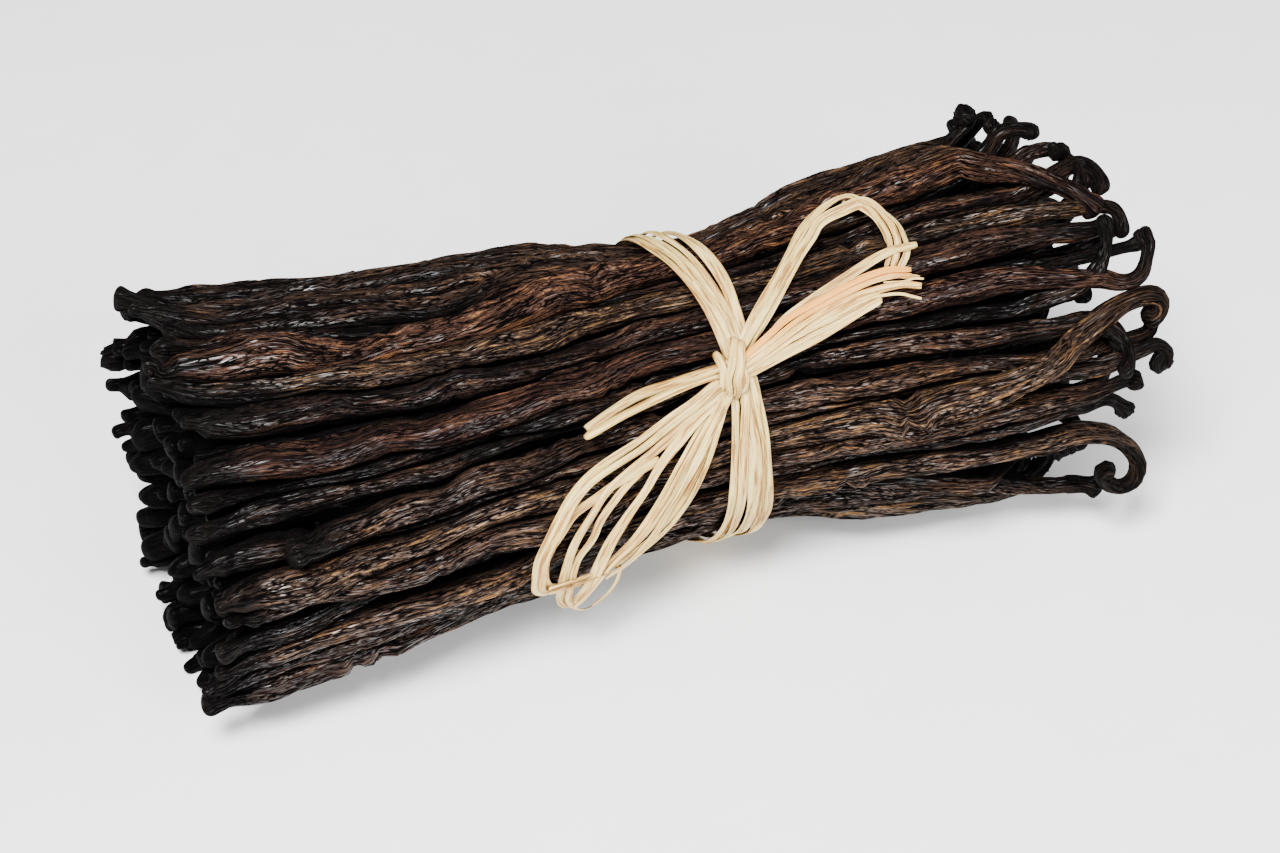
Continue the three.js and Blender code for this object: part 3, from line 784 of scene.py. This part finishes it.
# %% Sums on sockets
class Number:
    """A number that varies over a surface, on which sums are written as in plain Python."""

    def __init__(self, look, socket):
        self.look, self.socket = look, socket

    def sum(self, operation, first, second):
        """One Math node."""
        made = self.look.node("ShaderNodeMath", {"operation": operation}, {0: first, 1: second})
        return Number(self.look, made.outputs[0])

    def __add__(self, other):
        return self.sum("ADD", self, other)

    def __radd__(self, other):
        return self.sum("ADD", other, self)

    def __sub__(self, other):
        return self.sum("SUBTRACT", self, other)

    def __rsub__(self, other):
        return self.sum("SUBTRACT", other, self)

    def __mul__(self, other):
        return self.sum("MULTIPLY", self, other)

    def __rmul__(self, other):
        return self.sum("MULTIPLY", other, self)

    def ramp(self, low, high):
        """0 up to low, 1 from high on and smooth between. It falls if low is the larger."""
        made = self.look.node(
            "ShaderNodeMapRange", {"interpolation_type": "SMOOTHSTEP"}, {0: self, 1: low, 2: high}
        )
        return Number(self.look, made.outputs[0])


print("a Number knows", [name for name in vars(Number) if name.strip("_") in ("add", "sub", "mul")])

# %% [markdown]
# ## Making every other node
# A Look is a material under construction. One method makes a node of any kind from its type, its
# settings and its inputs, and the short methods after it name the few nodes that are used often.


# %% Materials
class Look:
    """A material under construction."""

    def __init__(self, name):
        self.material = bpy.data.materials.new(name)
        self.material.use_nodes = True
        self.tree = self.material.node_tree
        self.shader = self.tree.nodes["Principled BSDF"]

    def feed(self, socket, value):
        """A link from another socket, or a value of the socket's own."""
        value = value.socket if isinstance(value, Number) else value
        if isinstance(value, bpy.types.NodeSocket):
            self.tree.links.new(value, socket)
        else:
            socket.default_value = value

    def node(self, kind, settings, inputs):
        """A node of any kind, with its settings made before its inputs are fed."""
        made = self.tree.nodes.new(kind)
        for key, value in settings.items():
            setattr(made, key, value)
        for key, value in inputs.items():
            self.feed(made.inputs[key], value)
        return made

    def number(self, name):
        """A number kept on the piece's points."""
        made = self.node("ShaderNodeAttribute", {"attribute_name": name}, {})
        return Number(self, made.outputs["Fac"])

    def vector(self, name):
        """A vector kept on the piece's points."""
        return self.node("ShaderNodeAttribute", {"attribute_name": name}, {}).outputs["Vector"]

    def place_in_frame(self):
        """The place of the point itself, in metres."""
        return self.node("ShaderNodeTexCoord", {}, {}).outputs["Object"]

    def lengthwise(self):
        """The place along X in metres, which is along the bundle."""
        parts = self.node("ShaderNodeSeparateXYZ", {}, {"Vector": self.place_in_frame()})
        return Number(self, parts.outputs["X"])

    def noise(self, vector, scale, detail=2.0, roughness=0.5):
        """Soft chance from 0 to 1, with features of about 1 / scale."""
        made = self.node("ShaderNodeTexNoise", {}, {
            "Vector": vector, "Scale": scale, "Detail": detail, "Roughness": roughness})
        return Number(self, made.outputs[0])

    def folded(self, vector, scale, gain):
        """Noise folded about its middle: 0 in sharp grooves, up to 1 on rounded crests."""
        signed = (self.noise(vector, scale, 0.0) - 0.5) * gain
        folded = signed.sum("ABSOLUTE", signed, 0.0)
        return folded.sum("MINIMUM", folded, 1.0)

    def bent(self, vector, scale, amount):
        """The vector moved about by up to half of amount, smoothly from place to place."""
        made = self.node("ShaderNodeTexNoise", {}, {"Vector": vector, "Scale": scale, "Detail": 1.0})
        added = self.node("ShaderNodeVectorMath", {"operation": "MULTIPLY_ADD"}, {
            0: made.outputs["Color"], 1: (amount, amount, amount), 2: vector})
        return added.outputs[0]

    def stretched(self, vector, times):
        """The vector with each part multiplied, which shortens a pattern along that part."""
        made = self.node("ShaderNodeVectorMath", {"operation": "MULTIPLY"}, {0: vector, 1: times})
        return made.outputs[0]

    def mix(self, amount, first, second):
        """From the first colour to the second by an amount from 0 to 1."""
        made = self.node("ShaderNodeMix", {"data_type": "RGBA"}, {0: amount, 6: first, 7: second})
        return made.outputs[2]

    def relief(self, height, distance, strength=1.0):
        """A Bump node: height, from 0 to 1, becomes relief of that many metres."""
        made = self.node("ShaderNodeBump", {}, {
            "Height": height, "Distance": distance, "Strength": strength})
        return made.outputs["Normal"]

    def finish(self, **inputs):
        """Feeds the shader's sockets, by their names with _ for a space."""
        for key, value in inputs.items():
            self.feed(self.shader.inputs[key.replace("_", " ")], value)
        return self.material


def rgb(red, green, blue):
    """A display colour from 0 to 255, as the linear values that a shader wants."""
    shown = np.array([red, green, blue]) / 255
    linear = np.where(shown < 0.04045, shown / 12.92, ((shown + 0.055) / 1.055) ** 2.4)
    return (*linear.tolist(), 1.0)


print("middle grey as the shader takes it", round(rgb(128, 128, 128)[0], 3))

# %% [markdown]
# ## The pods' skin
# Cured vanilla is almost black and oily. Where the crests are rubbed they turn dark red, brown or
# ochre, each pod in its own degree, and the grooves stay black; that black is partly the skin's own
# and partly painted shade down in the grooves. The look therefore reads the height of the mesh's own
# wrinkles, adds lines too fine for the mesh, and goes by two numbers that each pod carries: how light
# and how red it is. Two more say how near an end of its pod and how deep in the bundle a place is:
# the ends are black, and deep between pods the black is painted shade. Damp patches are what makes
# it glisten. Towards the tips the whole bundle is darker and oilier than past the tie.


# %% Skin material
def skin_look():
    """Black grooves, partly painted shade, crests in each pod's own brown, painted shade between pods, and
    oily patches.
    """
    look = Look("vanilla_skin")
    grain = look.vector("grain")
    height, light, red = look.number("height"), look.number("light"), look.number("red")
    near_end, deep = look.number("near_end"), look.number("deep")
    # lines of three sizes along the pod, and crumbs across them
    swirl = look.bent(look.bent(grain, 0.25, 2.0), 1.2, 0.6)
    cords = look.folded(look.stretched(swirl, (1, 1, 0.4)), 1.1, 3.4)
    lines = look.folded(look.stretched(swirl, (1, 1, 0.5)), 2.4, 3.4)
    threads = look.folded(look.stretched(swirl, (1, 1, 0.75)), 4.6, 3.4)
    crumbs = look.noise(look.stretched(swirl, (1, 1, 3.0)), 5.5, 1.0, 0.6)
    crest = 0.25 * cords + 0.4 * lines + 0.35 * threads
    # how rubbed a place is; deep between pods it is lowered, which is painted shade there
    chance = look.noise(grain, 0.45, 3.0, 0.6)
    tipwards = look.lengthwise().ramp(0.015, -0.045)
    patches = 0.9 * chance + 0.15 * height + 0.42 * light - 0.16 - 0.35 * near_end - 0.5 * deep
    patches = patches - 0.11 * tipwards
    # from black grooves, whose black is partly painted shade in them, over bare and brown skin to the
    # lightest crests
    black = rgb(2, 1, 1)
    bare = look.mix(red, rgb(16, 12, 11), rgb(22, 12, 11))
    base = look.mix(crumbs.ramp(0.42, 0.66) * near_end, bare, rgb(36, 33, 32))
    brown = look.mix(red, rgb(60, 46, 37), rgb(66, 40, 32))
    ochre = look.mix(red, rgb(150, 110, 62), rgb(132, 78, 48))
    worn = look.mix(patches.ramp(0.22, 0.6), base, brown)
    worn = look.mix(patches.ramp(0.36, 0.74) * crest.ramp(0.42, 0.8), worn, ochre)
    # deep between pods the colour goes black: painted shade between the pods
    colour = look.mix(crest.ramp(0.2, 0.46) * (1 - 0.85 * deep), black, worn)
    # small glints, where the skin is damp
    damp = look.noise(grain, 0.8, 3.0, 0.6).ramp(0.3, 0.55)
    damp = damp * (1 - 0.9 * near_end) * (1 - deep) * (1 - 0.55 * light * (1 - tipwards))
    glint = (threads + 0.8 * crumbs).ramp(0.68, 0.95) * crest.ramp(0.3, 0.5)
    return look.finish(
        Base_Color=colour,
        Roughness=0.75,
        Coat_Weight=(0.06 + 0.94 * damp) * glint,
        Coat_Roughness=0.34,
        Specular_IOR_Level=0.04,
        Normal=look.relief(crest + (0.7 + 0.6 * near_end) * crumbs, 0.0012),
    )


skin = skin_look()
print("skin nodes", len(skin.node_tree.nodes))

# %% [markdown]
# ## The outer pods
# The outer ring is what shows, so its pods are whole and finely gridded. They go into four pieces,
# by the side of the bundle they lie on, which keeps every piece light.


# %% Outer pods, whole
def skin_values(pods, grain, height, near_end, deep):
    """The skin's values for each point, in the order in which a mesh takes them."""
    shape = height.shape
    light = np.broadcast_to(pods["light"][:, None, None], shape)
    red = np.broadcast_to(pods["red"][:, None, None], shape)
    numbers = {"height": height, "near_end": near_end, "deep": deep, "light": light, "red": red}
    return {"grain": with_poles(grain), **{key: with_poles(value) for key, value in numbers.items()}}


def pods_piece(name, pods, *steps):
    """One mesh of the pods of a table, with what the skin reads."""
    points, *felt = pod_surfaces(pods, *steps)
    faces = tube_faces(*points.shape[:3])
    return write_mesh(name, with_poles(points), faces, skin, **skin_values(pods, *felt))


AROUND, BODY_STEPS, HOOK_STEPS = 60, 110, 30
SIDES = ("pods_under", "pods_front", "pods_top", "pods_back")
by_theta = np.argsort(outer["theta"][:, 2])
pieces = []
for name, members in zip(SIDES, np.array_split(by_theta, len(SIDES))):
    pieces.append(pods_piece(name, chosen(outer, members), AROUND, BODY_STEPS, HOOK_STEPS, all_places))

# %% [markdown]
# ## The inner pods
# The rings below show in the gaps between the outer pods and, at both ends, as a stack of tips
# and a tangle of stems. They are whole pods on a coarser grid, and need no pressing, because they
# touch where nobody looks.

# %% Inner pods
INNER_AROUND, INNER_BODY_STEPS, INNER_HOOK_STEPS = 20, 34, 18
inside = chosen(everything, np.arange(outer_count, len(everything["tip"])))
pieces.append(pods_piece("pods_inner", inside, INNER_AROUND, INNER_BODY_STEPS, INNER_HOOK_STEPS))

# %% [markdown]
# ## The core
# A plain spindle fills the middle, and the inner pods pass through it, so that no light shines
# through the bundle. It ends well inside both ends and hardly shows, so its material is only dark.

# %% Core
CORE_ENDS = (-62, 34)
CORE_DEPTH = 2.9 * POD_RADIUS


def core_surface():
    """A spindle: the bundle's outline drawn in by CORE_DEPTH and rounded off at both ends.

    theta runs backwards, which turns the faces outwards on a tube whose x rises.
    """
    x = np.linspace(*CORE_ENDS, 40)[None, :, None]
    theta = np.linspace(360, 0, 48, endpoint=False)[None, None]
    to_end = 0.5 + np.minimum(x - CORE_ENDS[0], CORE_ENDS[1] - x)
    return place(x, theta, (outside_radius(x) - CORE_DEPTH) * rounding(to_end, 3))


def core_look():
    """Almost black, with a faint mottle."""
    look = Look("core_dark")
    shade = look.noise(look.place_in_frame(), 400)
    return look.finish(Base_Color=look.mix(shade, rgb(10, 8, 8), rgb(24, 18, 16)), Roughness=0.7)


core = core_surface()
pieces.append(write_mesh("bundle_core", with_poles(core), tube_faces(*core.shape[:3]), core_look()))

# %% [markdown]
# ## Raffia
# Raffia is the dried skin of a palm leaf, split into flat strands that curl at their edges and
# fold where they turn. A strand here is a thin section, wider than thick and a little cupped,
# carried along a path. The path is a list of places on the bundle with a height over the pods.


# %% A strand along a path
STRAND_THICKNESS = 0.18
STRAND_AROUND = 20


def strand_surface(corners, width, number, cup=0.1, roll=0.0, twist=0.0, spacing=0.6):
    """A strand as a closed grid, its place on the unrolled leaf, and how near an edge it is.

    The section is a flat ellipse with blunter edges, bent by cup times the square of the place
    across, and pleated. roll tips it sideways, in degrees, and twist adds to that along the way.
    """
    centre, along = curve_through(np.asarray(corners, float), spacing)
    tangent = unit(np.gradient(centre, axis=0))
    spoke = centre - AXIS
    spoke[:, 0] = 0
    up = unit(spoke - tangent * dot(spoke, tangent)[:, None])
    aside = np.cross(tangent, up)
    share = along / along[-1]
    tip = np.radians(roll + twist * share + 34 * sway(number, along, 9, 21))[:, None]
    aside, up = aside * np.cos(tip) + up * np.sin(tip), up * np.cos(tip) - aside * np.sin(tip)
    turn = np.linspace(2 * np.pi, 0, STRAND_AROUND, endpoint=False)[None]
    uneven = 1 + 0.5 * sway(number, along, 11, 22)
    ends = 0.7 + 0.3 * rounding(along, 2) * rounding(along[-1] - along, 2)
    half = (width / 2 * uneven * ends)[:, None]
    across = np.cos(turn) * np.abs(np.cos(turn)) ** -0.25
    pleats = folded(number, across * 1.6, along[:, None], 7, 16, 23) - 0.4
    lift = np.sin(turn) * STRAND_THICKNESS / 2 + 0.3 * half * pleats
    waves = wander(number, across, along[:, None], 3, 6, 24) - 0.5
    lift = lift + cup * half * (0.4 - across**2) + 0.25 * waves
    points = centre[:, None] + (across * half)[..., None] * aside[:, None] + lift[..., None] * up[:, None]
    leaf = np.broadcast_arrays(across * half + 3.3 * number, 0.06 * along[:, None], 0 * lift + number)
    return points, np.stack(leaf, -1), across**4 + 0 * lift


def split(path, width, parts, seed):
    """Several narrow strands that run beside and over each other within a wide strand's path.

    Each is set off sideways, at right angles to the path on the unrolled outline, by a share of
    the width that changes along the way, and lies a little higher or lower than the last.
    """
    x, theta, height = np.array(path, float).T
    around = np.radians(theta) * outside_radius(x)
    run = np.stack([np.gradient(x), np.gradient(around)], -1)
    sideways = unit(np.stack([-run[:, 1], run[:, 0]], -1))
    along = np.cumsum(np.linalg.norm(run, axis=-1))
    made = []
    for k in range(parts):
        strays = 0.45 * sway(seed + k, along, 12, 25)
        moved = width * ((k + 0.5) / parts - 0.5 + strays)
        angle = theta + np.degrees(moved * sideways[:, 1] / outside_radius(x))
        lying = height + 0.25 * ((k * 2) % 3) - 0.2 + 0.2 * (dice(seed, k) - 0.5)
        made.append(np.stack([x + moved * sideways[:, 0], angle, lying], -1))
    return made


def strand_piece(name, ribbons, material, spacing=0.6):
    """Several ribbons, each split into strands that overlap by a quarter, as one mesh.

    The strands are numbered on from the length of the name, so that chance differs by piece.
    """
    faces, columns, start = [], [], 0
    number = len(name)
    for path, width, parts, how in ribbons:
        shape = {"spacing": spacing, **how}
        tint = shape.pop("tint", 0.1)
        for x, theta, height in (strand.T for strand in split(path, width, parts, number)):
            number += 1
            corners = place(x, theta, outside_radius(x) + height)
            grids = strand_surface(corners, 1.25 * width / parts, number, **shape)
            faces += tube_faces(1, *grids[0].shape[:2], start)
            points, leaf, edge = (with_poles(grid[None]) for grid in grids)
            start += len(points)
            tints = np.full(len(points), tint * (0.4 + 1.2 * dice(number, 33)))
            columns.append((points, leaf, edge, tints))
    points, leaf, edge, tint = (np.concatenate(column) for column in zip(*columns))
    return write_mesh(name, points, faces, material, leaf=leaf, edge=edge, tint=tint)


starts = [strand[0, 1] for strand in split([(0, 0, 0), (10, 0, 0)], 2, 3, 1)]
print("three strands of a 2 mm ribbon start at theta", np.round(starts, 2).tolist())

# %% [markdown]
# ## The raffia's look
# Dried palm skin is cream, with tan lines that run along it and edges that have dried browner.
# Its pattern goes by the place on the unrolled leaf, so the lines follow every turn of a strand.


# %% Raffia material
def raffia_look():
    """Cream skin with tan lines along it, browner edges, and orange where tint says so."""
    look = Look("raffia_cream")
    leaf = look.vector("leaf")
    tint, edge = look.number("tint"), look.number("edge")
    veins = look.noise(leaf, 1.7, 2.0, 0.6)
    threads = look.noise(leaf, 4.5, 2.0, 0.6)
    broad = look.noise(leaf, 0.6, 2.0, 0.5)
    colour = look.mix(broad.ramp(0.35, 0.65), rgb(206, 184, 108), rgb(197, 163, 94))
    colour = look.mix(veins.ramp(0.5, 0.38) * 0.8, colour, rgb(230, 210, 142))
    colour = look.mix((veins + 0.5 * threads).ramp(0.79, 0.88), colour, rgb(138, 98, 46))
    colour = look.mix(edge.ramp(0.5, 0.95) * 0.7, colour, rgb(132, 94, 46))
    colour = look.mix(tint, colour, rgb(228, 148, 46))
    return look.finish(
        Base_Color=colour,
        Roughness=0.5 + 0.15 * threads,
        Specular_IOR_Level=0.4,
        Normal=look.relief(0.65 * veins + 0.35 * threads, 0.0008),
    )


raffia = raffia_look()
print("raffia nodes", len(raffia.node_tree.nodes))

# %% [markdown]
# ## The band
# A few ribbons go round the waist side by side. Being hand-tied, they ride up on each other, and
# the band leans a little towards the tips where it goes over the top.


# %% Band ribbons
KNOT_SIDE = 47


def band_path(offset, height, number):
    """Once round the waist from the knot, drawn together there, with a lean over the top.

    Away from the knot the ribbon drifts along x as a sine of theta.
    """
    theta = np.linspace(KNOT_SIDE, KNOT_SIDE - 360, 25)
    lean = -4.5 * ramp(55, 135, theta % 360) * ramp(350, 220, theta % 360)
    drift = 0.8 * np.sin(np.radians(theta * (1 + number % 2) + 80 * number))
    clear = ramp(0, 28, np.minimum(KNOT_SIDE - theta, theta - KNOT_SIDE + 360))
    x = TIE_X + offset * (0.45 + 0.55 * clear) + lean + drift * clear
    lift = height + 0.12 * np.sin(np.radians(3 * theta + 50 * number))
    return np.stack([x, theta, lift], -1)


# a ribbon: its path, its width in mm, the strands it is split into, and how they lie
BAND = [
    (band_path(-2.5, 0.45, 0), 2.4, 2, {}),
    (band_path(-0.6, 0.6, 1), 2.0, 1, {}),
    (band_path(1.0, 0.45, 2), 2.2, 2, {}),
    (band_path(2.6, 0.5, 3), 1.8, 1, {}),
]
pieces.append(strand_piece("raffia_band", BAND, raffia, spacing=0.9))

# %% [markdown]
# ## The bow
# Each loop is a few ribbons that leave the knot, turn over at the far end and come back. The cut
# ends run out on both sides, and the knot is short ribbons laid over each other. A path is a list
# of x, theta and height over the pods. Cup says how far a ribbon's edges curl, and tint how orange
# it is.

# %% Loops, tails and knot
UPPER = [
    ([(9.5, 48, 1.6), (13, 57, 1.7), (16.5, 64.5, 1.8), (20, 71.5, 2), (23.5, 79, 2.2), (27, 86, 2.4),
      (30.5, 90.5, 2.6), (34, 92.5, 3), (36, 91, 3.5), (37.5, 87.5, 3.4), (40, 80, 3.2),
      (41, 74.5, 3.1), (41, 70, 3), (40.5, 65.5, 2.8), (38, 60.5, 2)], 1.2, 1, {"twist": 40}),
    ([(10, 47.5, 1.3), (15, 57.5, 1.4), (18.5, 64.5, 1.5), (21.5, 70.5, 1.6), (24.5, 76.5, 1.8),
      (28, 82.5, 2.1), (29.5, 85.5, 2.3), (31, 86.5, 2.5), (33.5, 87, 2.6), (37, 86.5, 3.1),
      (38, 84, 3.1), (39, 77, 2.8), (39, 70, 2.6), (38, 65.5, 2.4), (37, 62.5, 2)],
     1.6, 2, {"twist": -30}),
    ([(35, 91, 2.6), (36.5, 86.5, 2.6), (38, 80.5, 2.5), (38.5, 75, 2.4), (38.5, 70, 2.3),
      (39, 67, 2.4)], 0.6, 1, {}),
    ([(42, 66, 3.6), (40, 66.5, 3.5), (38, 67, 3.3), (35, 66.5, 3), (30, 63.5, 2.7), (24, 59.5, 2.4),
      (18.5, 55.5, 2.1), (14, 50, 1.9), (9.5, 44.5, 1.6)], 1.1, 1, {"twist": 50}),
]
TAILS = [
    ([(9, 43.5, 1.9), (14, 48.5, 2.3), (19, 54, 2.6), (24, 57.5, 2.9), (30, 60, 3.2), (36, 60.5, 3.4),
      (39.5, 58.5, 3.5)], 1.6, 2, {"tint": 0.75}),
    ([(9, 42.5, 1.7), (16.5, 48.5, 2.2), (22, 53, 2.5), (27.5, 56, 2.8), (32.5, 57, 3.1),
      (37.5, 56.5, 3.2), (40.5, 54.5, 3.2)], 2.0, 3, {"tint": 0.3}),
    ([(9, 41.5, 1.5), (16.5, 46.5, 1.8), (22, 49.5, 2), (27, 51.5, 2.2), (31, 53.5, 2.4),
      (34, 54.5, 2.7)], 1.4, 2, {}),
    ([(10, 40, 1.3), (17, 44.5, 1.5), (22.5, 47, 1.8), (27, 49.5, 2), (31, 52, 2.2), (34, 53.5, 2.6)],
     1.1, 1, {}),
    ([(30, 55, 2.8), (34, 54.5, 3), (37, 53.5, 3.1), (39, 51.5, 3.2), (40, 50.5, 3.2)], 0.35, 1, {}),
    ([(35, 58, 3.2), (38, 56.5, 3.4), (39.5, 56.5, 3.6), (41, 55.5, 3.8)], 0.3, 1, {}),
    ([(8.5, 45.5, 2.2), (2.5, 44.5, 2), (-2.5, 43, 2), (-7.5, 41.5, 2), (-12, 39, 2.1),
      (-18, 36, 2.2)], 1.3, 1, {"cup": 1.5}),
    ([(8.5, 43.5, 2), (2.5, 42.5, 1.8), (-2.5, 41, 1.8), (-7.5, 39, 1.8), (-12, 37, 1.9),
      (-18.5, 33.5, 2.1)], 1.3, 1, {"cup": -1.5}),
]
LOWER = [
    ([(6.5, 41, 2), (1.5, 35.5, 1.8), (-3.5, 31.5, 1.8), (-9.5, 26.5, 1.8), (-15, 23, 2),
      (-19, 20, 2.2), (-22, 16, 2.3), (-24.5, 10, 2.4), (-26.5, 3.5, 2.5), (-28, -2, 2.6),
      (-28.5, -8.5, 2.8), (-28.5, -13, 3), (-27.5, -15.5, 3.1), (-25.5, -16, 3), (-22, -16, 3),
      (-17.5, -16.5, 2.8)], 1.9, 2, {}),
    ([(-6.5, 19.5, 1.3), (-10, 17.5, 1.4), (-14, 15.5, 1.5), (-18, 12.5, 1.7), (-22, 9.5, 1.9),
      (-24.5, 4.5, 2.2), (-27, -1.5, 2.5), (-27.5, -9, 2.7), (-27, -13.5, 2.8), (-26, -15.5, 2.8),
      (-22, -20, 2.8), (-18, -21.5, 2.7)], 1.2, 1, {"tint": 0.2}),
    ([(6, 38, 1.6), (1.5, 32.5, 1.5), (-2.5, 27.5, 1.5), (-7, 22.5, 1.5), (-12, 18, 1.6),
      (-16, 13.5, 1.7), (-19, 7.5, 1.9), (-22, 0, 2.1), (-23.5, -7.5, 2.4), (-24.5, -18.5, 2.8),
      (-24, -26, 3.1), (-22.5, -31, 3.6), (-21.5, -28, 3.8), (-19.5, -19.5, 3.6), (-18, -11.5, 3.1),
      (-16, -3.5, 2.7), (-13, 4, 2.3), (-9.5, 11, 2), (-6.5, 17.5, 1.8), (-2.5, 24.5, 1.7),
      (1.5, 31, 1.6), (6.5, 36.5, 1.5)], 1.3, 1, {"roll": 15, "tint": 0.15}),
    ([(-9, 17.5, 1), (-13, 13, 1.3), (-17.5, 4.5, 1.8), (-19, -1.5, 2.1), (-21.5, -7.5, 2.5),
      (-22.5, -14.5, 3), (-23, -27.5, 3.6)], 0.9, 1, {"roll": -20}),
    ([(6, 37, 1.4), (1, 26, 1.5), (-3.5, 15, 1.6), (-7.5, 3.5, 1.7), (-12, -8, 2.2),
      (-16, -13.5, 2.8), (-18.5, -19.5, 3.4), (-20.5, -26.5, 3.8), (-22, -29.5, 4)],
     1.5, 2, {"tint": 0.3}),
    ([(6.5, 36.5, 1.6), (2, 23.5, 1.6), (-2, 12.5, 1.7), (-5.5, 2, 1.8), (-9, -7.5, 2.2),
      (-13, -14.5, 2.7), (-17, -19, 3)], 2.4, 2, {"tint": 0.15}),
    ([(6.5, 36, 1.6), (3, 21.5, 1.7), (0, 10.5, 1.8), (-3, 1, 1.9), (-6, -6.5, 2.2),
      (-10, -12.5, 2.5), (-14, -17, 2.8), (-19, -16.5, 3.1), (-24, -15.5, 3.3), (-27, -14, 3.4)],
     1.5, 2, {}),
    ([(-23, -17.5, 3.4), (-23, -24.5, 4), (-20, -37, 4.4), (-17, -42, 4.4), (-15, -29, 4),
      (-14, -20.5, 3.2), (-15, -15.5, 2.6)], 0.8, 1, {}),
]
KNOT = [
    ([(10.5, 53.5, 0.8), (10, 52, 2.2), (9, 48.5, 3.2), (8, 44, 3.8), (7, 40, 3.6), (7, 36.5, 2.8),
      (7, 33.5, 0.9)], 2.3, 2, {"cup": 0.5}),
    ([(7.5, 36, 0.9), (9, 36.5, 2.6), (9.5, 39.5, 3.3), (9.5, 44, 3.1), (10, 49, 2.6), (9.5, 54.5, 1)],
     1.1, 1, {"cup": 0.5}),
    ([(6.5, 50.5, 0.8), (6.5, 47.5, 2.2), (6.5, 43.5, 2.9), (6, 39, 2.6), (6, 36, 1)],
     1.1, 1, {"cup": 0.5}),
    ([(6.5, 45.5, 1.4), (8, 46.5, 3.4), (9.5, 46.5, 3.2), (11, 47, 1.6)], 1.0, 1, {"cup": 0.5}),
]
BOW = {"upper_loop": UPPER, "ends": TAILS, "lower_loop": LOWER, "knot": KNOT}
for part, ribbons in BOW.items():
    pieces.append(strand_piece("raffia_" + part, ribbons, raffia))

# %% [markdown]
# ## Places in the frame
# Every piece belongs to the one body. The skin pieces stand for the solid of the pods and the
# raffia pieces for that of the bow.

# %% Riding and replacing
for piece in pieces:
    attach(piece, "root")
    made_of_raffia = piece.name.startswith("raffia")
    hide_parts("raffia_bow" if made_of_raffia else "vanilla_pods")
print("pieces", [piece.name for piece in pieces])

# %% [markdown]
# ## The floor
# The bundle lies on plain white paper. The floor is not part of it.


# %% Floor
def floor_look():
    """Matte white paper with the faintest tooth."""
    look = Look("floor_white")
    tooth = look.noise(look.place_in_frame(), 90)
    return look.finish(Base_Color=look.mix(tooth, rgb(240, 240, 240), rgb(246, 246, 246)), Roughness=0.9)


FLOOR = 3.0
floor_mesh = bpy.data.meshes.new("floor")
floor_corners = [(-FLOOR, -FLOOR, 0), (FLOOR, -FLOOR, 0), (FLOOR, FLOOR, 0), (-FLOOR, FLOOR, 0)]
floor_mesh.from_pydata(floor_corners, [], [(0, 1, 2, 3)])
floor_mesh.materials.append(floor_look())
floor = bpy.data.objects.new("floor", floor_mesh)
bpy.context.scene.collection.objects.link(floor)
print("floor, metres across", 2 * FLOOR)

# %% [markdown]
# ## Light
# Large soft lights, as in a small studio: one from above on the left that gives the oily skin its
# sheen, two low fills, and an even surrounding.


# %% Lights
def aimed(thing, stand, target):
    """An object that stands at a place and looks at a target along its own -Z."""
    bpy.context.scene.collection.objects.link(thing)
    thing.location = stand
    thing.rotation_euler = (Vector(target) - Vector(stand)).to_track_quat("-Z", "Y").to_euler()
    return thing


def soft_light(name, stand, size, power):
    """A square area light aimed at the bundle."""
    light = bpy.data.lights.new(name, "AREA")
    light.shape = "SQUARE"
    light.size = size
    light.energy = power
    return aimed(bpy.data.objects.new(name, light), stand, (0, 0, 0.03))


soft_light("key_light", (-0.3, -0.4, 0.8), 0.3, 31)
soft_light("front_light", (0.15, -0.75, 0.5), 0.3, 8)
soft_light("right_light", (0.8, -0.1, 0.45), 0.4, 4)
world = bpy.data.worlds.new("surrounding")
world.use_nodes = True
world.node_tree.nodes["Background"].inputs["Color"].default_value = (1, 1, 1, 1)
world.node_tree.nodes["Background"].inputs["Strength"].default_value = 0.12
bpy.context.scene.world = world
print("lights", [light.name for light in bpy.data.lights])

# %% [markdown]
# ## The camera
# It looks down on the bow's side through a long lens, turned a little towards the tips, so that
# the stack of tips shows at the left and the tangle of stems at the right.

# %% Camera
TURN, LIFT, AWAY = np.radians(20.0), np.radians(40.0), 0.505
target = Vector((0, 0, 0.0255))
back = Vector((-np.sin(TURN) * np.cos(LIFT), -np.cos(TURN) * np.cos(LIFT), np.sin(LIFT)))
lens = bpy.data.cameras.new("camera")
lens.lens = 85
lens.sensor_width = 36
lens.clip_start = 0.01
bpy.context.scene.camera = aimed(bpy.data.objects.new("camera", lens), target + back * AWAY, target)
print("camera stands", AWAY, "m away, looking down by", round(float(np.degrees(LIFT))), "degrees")

# %% [markdown]
# ## Sizes against the frame
# The finished pieces are meant to stay inside the packed model's box.
